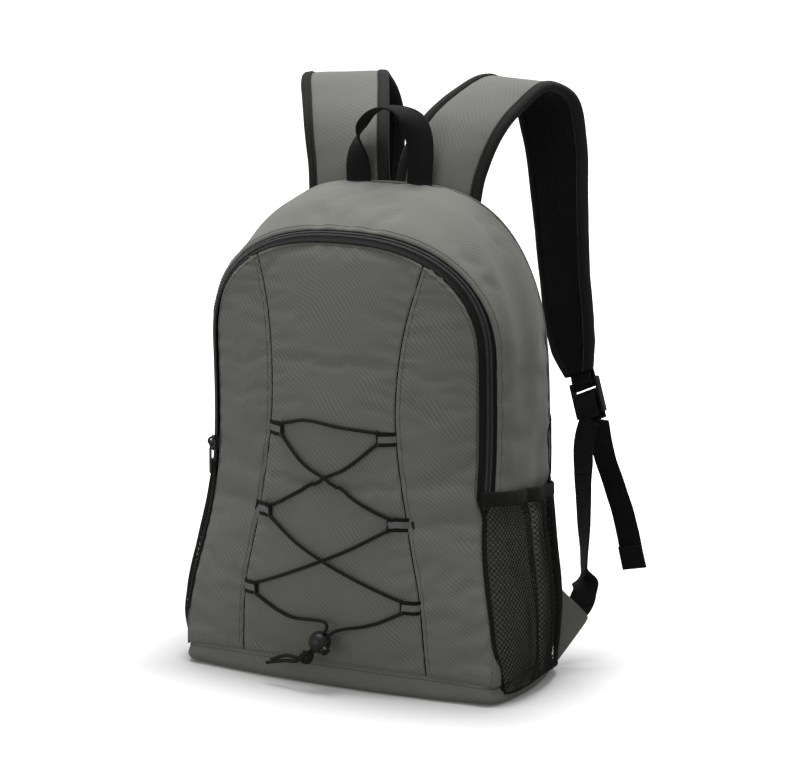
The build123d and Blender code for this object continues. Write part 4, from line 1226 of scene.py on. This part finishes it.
def build_handle():
    """Webbing grab loop: flat in the seam at its feet and turned edge-on at its top."""
    low, high = node_box("handle")
    y0, foot = 40.0, low[2]
    half, rise = 31.0, high[2] - low[2] - 2
    turn = np.linspace(0, math.pi, 61)
    swell = 1 + 0.28 * np.sin(turn)
    x, z = -half * np.cos(turn) * swell, foot + 1 + rise * np.sin(turn) ** 0.8
    path = np.stack([x, np.full(61, y0), z], axis=1)
    path = np.concatenate([path[:1] - [0, 0, 5], path, path[-1:] - [0, 0, 5]])
    turn = np.concatenate([[0], turn, [math.pi]])
    first, second = smooth(turn / (0.26 * math.pi)), smooth((turn - 0.42 * math.pi) / (0.58 * math.pi))
    twist = math.pi / 2 * (first + second)
    across = np.stack([np.cos(twist), -np.sin(twist), np.zeros(len(turn))], axis=1)
    piece = solid("grab_webbing", band(path, across, WEB, 2.0), "webbing")
    fold = ("bag", "grab_handle", (0, y0, foot - 2), (0, y0, foot + 16))
    finish_piece(piece, fold, "webbing", "handle")
    across, up = frames_along(path, across)
    rows, normals = [], []
    for side in (-1, 1):
        for face in (-1, 1):
            rows.append(path[2:-2] + across[2:-2] * side * (WEB / 2 - 2.5) + up[2:-2] * face * 1.0)
            normals.append(up[2:-2] * face)
    seam = stitches("grab_stitching", rows, normals, "thread_dark", thick=0.28)
    finish_piece(seam, fold, "webbing")


# ---------------------------------------------------------------- shoulder straps


STRAP_PATH = [(44, 47.0, 425), (49, 54, 462), (58, 68, 490), (73, 94, 516), (90, 124, 531), (102, 152, 517),
              (108, 165, 478), (113, 167, 420), (121, 164, 345), (132, 157, 290), (142, 151, 261)]
STRAP_ACROSS = [(1, 0.02, -0.27), (1, 0.02, -0.16), (1, -0.12, -0.1), (1, -0.24, -0.05), (1, -0.30, 0),
                (1, -0.40, 0), (1, -0.50, 0), (1, -0.55, 0), (1, -0.55, 0.05), (1, -0.45, 0.12),
                (1, -0.35, 0.15)]
STRAP_STATIONS = 150
STRAP_MIDDLE = 70  # station at which a strap face's outer side is told from its inner one
STRAP_WIDTHS = [84, 84, 84, 83, 82, 82, 82, 82, 82, 82, 81, 80, 78, 76, 73, 70, 65, 56, 34]


def strap_course(count):
    """Centre line, across and outer normal vectors, and widths of the padded strap."""
    path = spline(STRAP_PATH, count)
    across = unit(spread(STRAP_ACROSS, count))
    across, up = frames_along(path, across)
    if up[0, 1] > 0:
        up = -up
    widths = np.interp(np.linspace(0, 1, count), np.linspace(0, 1, len(STRAP_WIDTHS)), STRAP_WIDTHS)
    return path, across, up, widths


def strap_layer(path, across, up, widths, sign, thick, margin, seed):
    """One face of the strap: puffed in the middle and drawn down at its bound edges, with cross creases."""
    cols = 25
    t = np.linspace(-1, 1, cols)[None, :]
    half = (widths / 2 - margin)[:, None]
    puff = thick * (0.52 + 0.48 * np.sqrt(np.maximum(1 - np.abs(t) ** 3.2, 0)))
    grid = path[:, None] + across[:, None] * (half * t)[..., None] + sign * up[:, None] * puff[..., None]
    calm = smooth((1 - np.abs(t)) / 0.22)
    along = lengths(path)[:, None]
    key = np.stack([along / 26 + 0 * t, (half * t) / 60, np.full(grid.shape[:2], seed)], axis=-1)
    crease = 0.7 * wobble(key, 1.0, seed) * calm
    distance = half * (1 - np.abs(t))
    key = np.stack([along / 7 + 0 * t, distance / 30, np.full(grid.shape[:2], seed + 2)], axis=-1)
    gather = 0.7 * wobble(key, 1.0, seed) * np.exp(-distance / 12) * calm
    return grid + sign * up[:, None] * (crease + gather)[..., None]


def strap_binding(path, across, up, widths, side, thick):
    """Binding folded over one edge of the strap."""
    reach = 9.5
    arc = [(-reach, 0.97), (-reach * 0.75, 1.05), (-reach * 0.4, 1.0), (-1.4, 0.84), (0.2, 0.45), (0.7, 0.0)]
    arc = [(a, b * thick) for a, b in arc]
    arc += [(a, -b) for a, b in arc[-2::-1]]
    edge = (widths / 2)[:, None]
    grid = np.stack([path + across * side * (edge + a) + up * b for a, b in arc], axis=1)
    along = lengths(path)
    key = np.stack([along / 9, along * 0, along * 0 + side], axis=-1)
    grid = grid + (up * (0.12 * wobble(key, 1.0, 4.0))[:, None])[:, None]
    return grid[:, ::-1] if side < 0 else grid


def build_straps():
    """Padded straps with face, lining, bound edges and stitching."""
    right, across, up, widths = strap_course(STRAP_STATIONS)
    thick = 4.3
    for side, sign in (("right", 1), ("left", -1)):
        path = right.copy()
        if side == "left":
            station = np.arange(STRAP_STATIONS)
            path[:, 0] -= 15.0 * smooth((station - 44) / 30) * (1 - smooth((station - 88) / 50))
        fold = ("bag", f"strap_{side}", (46 * sign, 51, 452), (46 * sign, 84, 452))
        for label, face, material, nodes in (
                ("face", 1, "strap", (f"strap_face_{side}", f"strap_foam_{side}", f"strap_anchor_{side}")),
                ("lining", -1, "pad", (f"strap_lining_{side}",))):
            grid = strap_layer(path, across, up, widths, face, thick, 7.0, 2.0 + face + sign)
            outward = on_side(up * face, side)[STRAP_MIDDLE]
            grid = facing(on_side(grid, side), STRAP_MIDDLE, 12, outward)
            piece = shell(f"strap_{label}_cloth_{side}", grid, 1.6, material)
            finish_piece(piece, fold, "strap_shell" if face > 0 else "lining", *nodes)
        rows, normals = [], []
        for edge, label, nodes in ((-1, "inner", (f"strap_binding_{side}",)), (1, "outer", ())):
            grid = strap_binding(path, across, up, widths, edge, thick)
            over, under = grid[2:-2, 1], grid[2:-2, -2]
            over, under = (over, under) if edge > 0 else (under, over)
            rows += [on_side(over + up[2:-2] * 0.1, side), on_side(under - up[2:-2] * 0.1, side)]
            normals += [on_side(up[2:-2], side), on_side(-up[2:-2], side)]
            grid = flip(grid)[:, ::-1] if side == "left" else grid
            outward = grid[STRAP_MIDDLE, 5] - on_side(path, side)[STRAP_MIDDLE]
            grid = facing(grid, STRAP_MIDDLE, 5, outward)
            piece = shell(f"strap_edge_{label}_{side}", grid, 0.9, "binding")
            finish_piece(piece, fold, "binding", *nodes)
        seam = stitches(f"strap_stitching_{side}", rows, normals, "thread_dark", thick=0.28)
        finish_piece(seam, fold, "binding")


# ---------------------------------------------------------------- webbing, wings and tails


TAIL_DOWN, TAIL_OUT = 35.5, 5.2  # the tail's pivot, seen from the lock's: down the lock and outwards


def lock_axes():
    """Origin and axes of the right-hand ladder lock: bar, down the strap, outwards."""
    tilt = joint("buckle_tilt_right")
    origin, bar = np.array(tilt["pos_m"]) / MM, unit(tilt["axis"])
    tail = np.array(joint("tail_swing_right")["pos_m"]) / MM
    down = tail - origin
    down = down - bar * down.dot(bar)
    lean = math.atan2(TAIL_OUT, TAIL_DOWN)
    out = np.cross(bar, unit(down))
    axis_down = unit(unit(down) * math.cos(lean) - out * math.sin(lean))
    return origin, bar, axis_down, np.cross(bar, axis_down)


def in_lock(v):
    """Point given along the lock's bar, down and outward axes."""
    origin, bar, down, out = lock_axes()
    return origin + bar * v[0] + down * v[1] + out * v[2]


WING_TIP = np.array([176.0, 98, 44])
WING_TOP = np.array([155.0, 81.5, 74])
WING_LOW = np.array([157.0, 75, 6])
WING_NORMAL = unit(np.cross(WING_LOW - WING_TOP, WING_TIP - WING_TOP))


def webs(name, path, across, side, body, nodes, thick=1.7, wave=0.0):
    path, across = on_side(path, side), on_side(across, side)
    piece = solid(name, band(path, across, WEB, thick, wave=wave), "webbing")
    return finish_piece(piece, body, "webbing", *nodes)


def build_webbing():
    """Loop that holds the lock, the lower webbing, its way through the lock and the loose hemmed tail."""
    bar = lock_axes()[1]
    slope = unit(WING_TIP - WING_TOP)
    leave = np.cross(slope, WING_NORMAL)
    leave = unit(leave if leave[2] > 0 else -leave)
    root = WING_TIP - slope * 13.5
    for side in ("right", "left"):
        turn = np.radians(np.linspace(-90, 90, 13))
        bend = [in_lock((0, 3.3 * math.cos(a), 3.3 * math.sin(a))) for a in turn]
        loop = [in_lock((0, -24, -2.2)), in_lock((0, -13, -2.9))] + bend
        loop += [in_lock((0, -13, 2.9)), in_lock((0, -24, 2.2))]
        path = spline(loop, 44)
        webs(f"lock_holder_{side}", path, np.repeat(bar[None], 44, axis=0), side, f"strap_{side}",
             (f"lock_loop_{side}",), 1.4)
        path = [(0, 31.5, -4.2), (0, 22, -4.2), (0, 12, -3.0), (0, 5.8, 0.6), (0, 9, 4.6), (0, 16, 5.2),
                (0, 24, 4.8), (0, 34, 5.2)]
        path = spline([in_lock(p) for p in path], 60)
        webs(f"web_in_lock_{side}", path, np.repeat(bar[None], 60, axis=0), side, f"buckle_{side}",
             (f"web_wrap_{side}",), 1.3)

        top = in_lock((0, 33, -4.2))
        path = spline([root - leave * 5, root, root + leave * 8 + [0, 0, 6], (169, 106, 86), (162, 120, 130),
                       (156, 131, 175), (154, 137, 203), top], 120)
        across = unit(spread([slope, slope, (0.52, -0.8, -0.1), (0.6, -0.74, 0.0), (0.7, -0.6, 0.05),
                              (0.75, -0.52, 0.12), (0.8, -0.44, 0.22), bar, bar, bar], 120))
        swing = [on_side(p, side) for p in (root + leave * 6, np.array([168, 110, 98]))]
        split = 84
        nodes = (f"adjuster_web_{side}", f"wing_web_{side}")
        body = ("bag", f"strap_{side}", *swing)
        webs(f"lower_web_{side}", path[:split + 2], across[:split + 2], side, body, nodes, 1.7, 0.5)
        tilt = [on_side(path[k], side) for k in (split, -1)]
        body = (f"strap_{side}", f"buckle_{side}", *tilt)
        webs(f"upper_web_{side}", path[split:], across[split:], side, body, (), 1.7, 0.5)

        start = in_lock((0, 33, 5.2))
        path = spline([start, (164, 161, 185), (180, 166, 135), (194, 169, 76)], 90)
        across = unit(spread([bar, (0.95, -0.2, 0.25), (0.95, -0.1, 0.25)], 90))
        webs(f"loose_tail_{side}", path, across, side, f"tail_{side}", (f"web_tail_{side}",), 1.7, 0.8)
        _, up = frames_along(path, across)
        hem = path[-14:] + up[-14:] * 1.7
        webs(f"tail_hem_{side}", hem, across[-14:], side, f"tail_{side}", (), 1.7)


def build_wings():
    """Grey triangle of doubled cloth that anchors the webbing in the back seam."""
    rows, cols = 13, 13
    grid = np.zeros((rows, cols, 3))
    for r in range(rows):
        for c in range(cols):
            a, b = r / (rows - 1), c / (cols - 1)
            root = (WING_TOP - [2, 1, -2]) * (1 - b) + (WING_LOW - [2, 1, 2]) * b
            tip = WING_TIP + (np.array([0, 0, 5.0]) * (0.5 - b))
            grid[r, c] = root * (1 - a) + tip * a
    puff = 1.4 * np.sin(math.pi * np.linspace(0, 1, cols))[None, :] * np.ones((rows, 1))
    normal = WING_NORMAL if grid_normals(grid)[6, 6].dot(WING_NORMAL) > 0 else -WING_NORMAL
    grid = grid + normal * puff[..., None] * 0.4
    for side in ("right", "left"):
        shape = finer(flip(grid)[:, ::-1] if side == "left" else grid, 2)
        piece = shell(f"strap_wing_{side}", shape, 2.2, "gusset")
        finish_piece(piece, "bag", "shell", f"wing_{side}")
        edge = [shape[:, 2], shape[:, -3]]
        normals = grid_normals(shape)
        seam = stitches(f"wing_stitching_{side}", edge, [normals[:, 2], normals[:, -3]], "thread")
        finish_piece(seam, "bag", "shell")


# ---------------------------------------------------------------- lacing


LACE_HEIGHTS = (84.0, 157.0, 233.0)
TAB_REACH = 19.0
LOOP_HALF = 5.5  # the cord lies this far above and below a loop's middle


def tab_x(z):
    return seam_x(z) - TAB_REACH


def build_loops(tree):
    """Ribbon loops: each leaves its seam, turns over the cord and comes back underneath."""
    for label, heights, body, nodes in (("lower", LACE_HEIGHTS[:2], "bag", ("lace_loops_lower",)),
                                        ("upper", LACE_HEIGHTS[2:], "front_flap", ("lace_loops_upper",))):
        parts = []
        for z in heights:
            for side in (-1, 1):
                outer, inner = float(seam_x(z)) + 0.5, float(tab_x(z)) + 3.5
                x = np.linspace(outer, inner + 1.5, 12)
                lift = np.interp(x, [inner, inner + 7, outer], [3.9, 2.5, 0.5])
                upper, _ = on_front(tree, side * x, np.full(12, z), lift)
                low, _ = on_front(tree, side * x[::-1], np.full(12, z), lift[::-1] * 0.25 + 0.3)
                turn = np.radians(np.linspace(70, -70, 7))
                centre, n = on_front(tree, [side * (inner + 1.0)], [z], 2.1)
                inward = np.array([-side, 0, 0])
                fold = [centre[0] + inward * 2.2 * math.cos(a) + n[0] * 1.9 * math.sin(a) for a in turn]
                path = resample(np.concatenate([upper, fold, low]), 44)
                across = np.repeat([[0, 0, 1.0]], 44, axis=0)
                points, faces, uv = band(path, across, WEB, 0.7, rounded(12.6, 0.7))
                uv[np.abs(points[:, 0]) < inner + 1.2, 0] = 6.0  # all dark where it turns over the cord
                parts.append((points, faces, uv))
        piece = solid(f"cord_loops_{label}", join(parts), "ribbon")
        finish_piece(piece, body, "webbing", *nodes)


def cord_course(tree, knots, count, lift=2.2):
    """Cord lying on the front through (x, z, extra lift) knots."""
    path = spline([(x, 0, z) for x, z, _ in knots], count)
    extra = np.interp(np.linspace(0, 1, count), np.linspace(0, 1, len(knots)), [k[2] for k in knots])
    spots, _ = on_front(tree, path[:, 0], path[:, 2], lift)
    spots[:, 1] = np.convolve(np.pad(spots[:, 1], 4, mode="edge"), np.ones(9) / 9, mode="valid")
    spots[:, 1] -= extra
    return spots


def cord_x(z):
    """Half distance between the two cords that lie in the loops at a height."""
    return float(tab_x(z)) + 3.6


def crossing(tree, side, over, high, low, leave, arrive):
    """Cord from one side's loop down to the next loop on the other side, passing over by a given height."""
    from_x, to_x = cord_x(high), cord_x(low)
    knots = [(side * from_x * 0.98, high - LOOP_HALF, 0),
             (side * from_x * leave[0], high - leave[1], over * leave[2]),
             (0, (high + low) / 2, over),
             (-side * to_x * arrive[0], low + arrive[1], over * 0.5),
             (-side * to_x * 0.985, low + LOOP_HALF, 0)]
    return cord_course(tree, knots, 60)


def build_cord(tree):
    """Elastic cord: across the top, through the loops and in two crossings down the front."""
    low, mid, high = LACE_HEIGHTS
    half, top, x = LOOP_HALF, high + LOOP_HALF, cord_x(high)
    knots = [(-x * 0.98, top, 0), (-x * 0.5, top + 5.5, 0), (x * 0.3, top + 2.5, 0), (x * 0.98, top, 0)]
    cords = {"upper": [cord_course(tree, knots, 60)], "lower": []}
    for side in (-1, 1):
        for z, where in ((high, "upper"), (mid, "lower"), (low, "lower")):
            x = cord_x(z)
            knots = [(side * x * 0.985, z + half + 0.5, 0), (side * x, z + half * 0.5, 0.2),
                     (side * x, z - half * 0.5, 0.2), (side * x * 0.985, z - half - 0.5, 0)]
            cords[where].append(cord_course(tree, knots, 16))
    spans = []
    for side, over in ((1, 0.0), (-1, 3.1)):
        spans.append(crossing(tree, side, over, high, mid, (0.35, 30, 0.7), (0.55, 19)))
        cords["lower"].append(crossing(tree, side, over, mid, low, (0.4, 25, 1.0), (0.5, 20)))
    span = tubes("cord_span", spans, CORD, "cord")
    finish_piece(span, FRONT_FOLD, "cord")
    piece = tubes("cord_upper", cords["upper"], CORD, "cord")
    finish_piece(piece, "front_flap", "cord", "bungee_upper")
    piece = tubes("cord_lower", cords["lower"], CORD, "cord")
    finish_piece(piece, "bag", "cord", "bungee_lower")


def build_cord_ends(tree):
    """The two ends of the cord: down to the lock, through it, knotted below it and cut off."""
    low = LACE_HEIGHTS[0]
    x, half = cord_x(low), LOOP_HALF
    way = -unit(joint("cord_lock_slide")["axis"])
    ball_low, ball_high = node_box("cord_lock_body")
    centre, radius = (ball_low + ball_high) / 2, (ball_high[0] - ball_low[0]) / 2
    pair = unit(np.cross(way, [0.3, -0.9, 0.1]))
    pair = pair if pair[0] > 0 else -pair
    legs = []
    for side in (-1, 1):
        knots = [(side * x * 0.98, low - half, 0), (side * x * 0.7, low - 16, 0), (side * 30, low - 23, 0.5)]
        start = cord_course(tree, knots, 24)
        enter = centre - way * (radius - 1.5) + pair * 1.9 * side
        over = centre - way * (radius + 4) + pair * 3.0 * side
        legs.append(spline(np.concatenate([start[::6], [over, enter]]), 70))
    gather = ("bag", "cord_lock", (0, 0, low - half), tuple(centre - way * radius))
    piece = tubes("cord_legs", legs, CORD, "cord")
    finish_piece(piece, gather, "cord", "bungee_legs")
    knot = sum(node_box("cord_knot")) / 2
    doubled = [np.array([centre - way * (radius - 2.0) + pair * 1.9 * s, centre + pair * 1.9 * s,
                         centre + way * (radius + 1.5) + pair * 1.6 * s, knot + pair * s]) for s in (-1, 1)]
    piece = tubes("cord_in_lock", [spline(d, 20) for d in doubled], 1.4, "cord")
    finish_piece(piece, "bag", "cord", "cord_through_lock")
    turn = np.linspace(0.15, 0.97, 60) * 2 * math.pi
    side = unit(np.cross(way, [0, -1.0, 0]))
    swell = 3.7 + 1.5 * np.cos(3 * turn)
    curl = (knot + side * (swell * np.cos(2 * turn))[:, None] + way * (swell * np.sin(2 * turn))[:, None]
            + np.array([0, 1.0, 0]) * (1.9 * np.sin(3 * turn))[:, None])
    second = (knot + np.array([-1.2, -1.6, -0.6]) + side * (swell * 0.85 * np.cos(2 * turn + 0.7))[:, None]
              + way * (swell * 0.8 * np.sin(2 * turn + 0.7))[:, None]
              + np.array([0, 1.0, 0]) * (2.0 * np.sin(3 * turn + 0.7))[:, None])
    piece = tubes("knot", [curl, second], 1.9, "cord")
    finish_piece(piece, "bag", "cord", "cord_knot")
    tail_low, tail_high = node_box("cord_tail")
    ends = []
    for s, reach, drop in ((-1, 0.0, -2.2), (1, 5.0, 1.6)):
        finish = np.array([tail_low[0] + 1 + reach, (tail_low[1] + tail_high[1]) / 2,
                           tail_low[2] + 4.0 + drop])
        ends.append(spline([knot + [-2, -1, -1.5 * s], knot + [-9, -2, -3.0 + s * 1.4],
                            (knot + finish) / 2 + [0, -1.0, s * 1.6 + 1.0], finish], 40))
    piece = tubes("cord_ends", ends, 1.7, "cord")
    finish_piece(piece, "bag", "cord", "cord_tail")


# ---------------------------------------------------------------- CAD parts that keep their own shape


def dress(node, material):
    obj = frame["nodes"][node]
    obj.data.materials.clear()
    obj.data.materials.append(MATERIALS[material])


def build_spring():
    """Coil spring behind the cord lock's button; it goes with the lock at one fixed length."""
    press = unit(joint("plunger_press")["axis"])
    side = unit(np.cross(press, [0.0, 0.0, 1.0]))
    rise = np.cross(press, side)
    low, high = node_box("cord_lock_spring")
    turn = np.linspace(0, 2.33 * 2 * math.pi, 110)
    along = (turn / turn[-1] - 0.5) * 2.1
    ring = 2.6 * (np.cos(turn)[:, None] * side + np.sin(turn)[:, None] * rise)
    path = (low + high) / 2 + ring + along[:, None] * press
    piece = tubes("lock_spring", [path], 0.28, "steel", 8)
    finish_piece(piece, "cord_lock", "spring", "cord_lock_spring")
    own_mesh(piece)


def dress_hardware():
    for node in ("ladder_lock_right", "ladder_lock_left", "cord_lock_body", "cord_lock_plunger"):
        dress(node, "plastic")
    for node in ("zip_slider", "zip_puller"):
        dress(node, "metal")
    build_spring()
    dress("base_board", "board")


# ---------------------------------------------------------------- studio


def build_floor():
    """Plain white floor. Only the camera sees it lit from within, more so away from the base's outline; the
    dimmer emission close to the base is a painted contact shadow.
    """
    size = 30000.0
    points = [(-size, -size, 0), (size, -size, 0), (size, size, 0), (-size, size, 0)]
    n = Nodes("floor_paper")
    where = n.place()
    seen = n.add("ShaderNodeLightPath").outputs["Is Camera Ray"]
    paper = n.ramp(n.noise(where, 400.0), 0.97, 1.0)
    colour = n.tint(n.mix(seen, (0.34, 0.34, 0.33), (0.93, 0.93, 0.93)), paper)
    n.finish(colour, 0.9, specular=0.0)
    clear = n.vector("SUBTRACT", n.vector("ABSOLUTE", where), (BASE_HALF, 72.0, 0.0))
    away = n.vector("LENGTH", n.vector("MAXIMUM", clear))
    glow_with_painted_shadow = []
    # first fade: emission weakest at the base's outline and rising over 90 mm, a painted contact shadow round
    # the bag; second fade, 100 to 800 mm out, makes the far floor white
    for near, wide, low, high in ((0.0, 90.0, 0.03, 0.33), (100.0, 800.0, 0.0, 0.8)):
        fade = n.add("ShaderNodeMapRange", interpolation_type="SMOOTHSTEP")
        for key, value in enumerate((away, near, wide, low, high)):
            n.put(fade, key, value)
        glow_with_painted_shadow.append(fade.outputs[0])
    n.shader.inputs["Emission Color"].default_value = (1.0, 1.0, 1.0, 1.0)
    n.put(n.shader, "Emission Strength", n.times(n.plus(glow_with_painted_shadow[0], glow_with_painted_shadow[1]), seen))
    floor = make_mesh("floor", points, [[0, 1, 2, 3]], materials=[n.material])


def build_world():
    """White surroundings, brighter to the camera than as a light."""
    world = bpy.data.worlds.new("studio")
    world.use_nodes = True
    tree = world.node_tree
    sky = tree.nodes["Background"]
    path = tree.nodes.new("ShaderNodeLightPath")
    level = tree.nodes.new("ShaderNodeMapRange")
    level.inputs[3].default_value = 0.36
    level.inputs[4].default_value = 1.0
    tree.links.new(path.outputs["Is Camera Ray"], level.inputs[0])
    tree.links.new(level.outputs[0], sky.inputs["Strength"])
    sky.inputs["Color"].default_value = (1.0, 1.0, 1.0, 1.0)
    bpy.context.scene.world = world


def softbox(name, place, aim, width, height, power):
    lamp = bpy.data.lights.new(name, "AREA")
    lamp.shape = "RECTANGLE"
    lamp.size, lamp.size_y, lamp.energy = width, height, power
    obj = bpy.data.objects.new(name, lamp)
    obj.location = place
    obj.rotation_euler = (Vector(aim) - Vector(place)).to_track_quat("-Z", "Y").to_euler()
    bpy.context.scene.collection.objects.link(obj)


def build_camera():
    """A long lens in front of the bag, a little above it and turned towards +X."""
    azimuth, elevation, distance = math.radians(27.0), math.radians(11.0), 2.5
    level = math.cos(elevation)
    back = Vector((math.sin(azimuth) * level, -math.cos(azimuth) * level, math.sin(elevation)))
    right = Vector((math.cos(azimuth), math.sin(azimuth), 0))
    up = back.cross(right)
    target = Vector((0, 0, 0.225)) + right * 0.0282 + up * 0.040
    data = bpy.data.cameras.new("camera")
    data.sensor_width = 36.0
    data.lens = 123.75
    camera = bpy.data.objects.new("camera", data)
    camera.location = target + back * distance
    camera.rotation_euler = back.to_track_quat("Z", "Y").to_euler()
    bpy.context.scene.collection.objects.link(camera)
    bpy.context.scene.camera = camera
    bpy.context.scene.view_settings.view_transform = "Standard"


# ---------------------------------------------------------------- build


panels = build_front()
front_tree = surface_of(panels)
front_stitching(front_tree)
build_gusset()
build_back_seam()
build_base()
build_back()
build_zip()
build_pockets()
build_handle()
build_straps()
build_webbing()
build_wings()
build_loops(front_tree)
build_cord(front_tree)
build_cord_ends(front_tree)
dress_hardware()
build_floor()
build_world()
softbox("overhead", (-0.1, 0.35, 2.5), (0, 0.05, 0.3), 1.8, 1.8, 54)
softbox("front_fill", (-0.7, -2.4, 0.45), (0, 0, 0.22), 1.6, 1.2, 8)
build_camera()
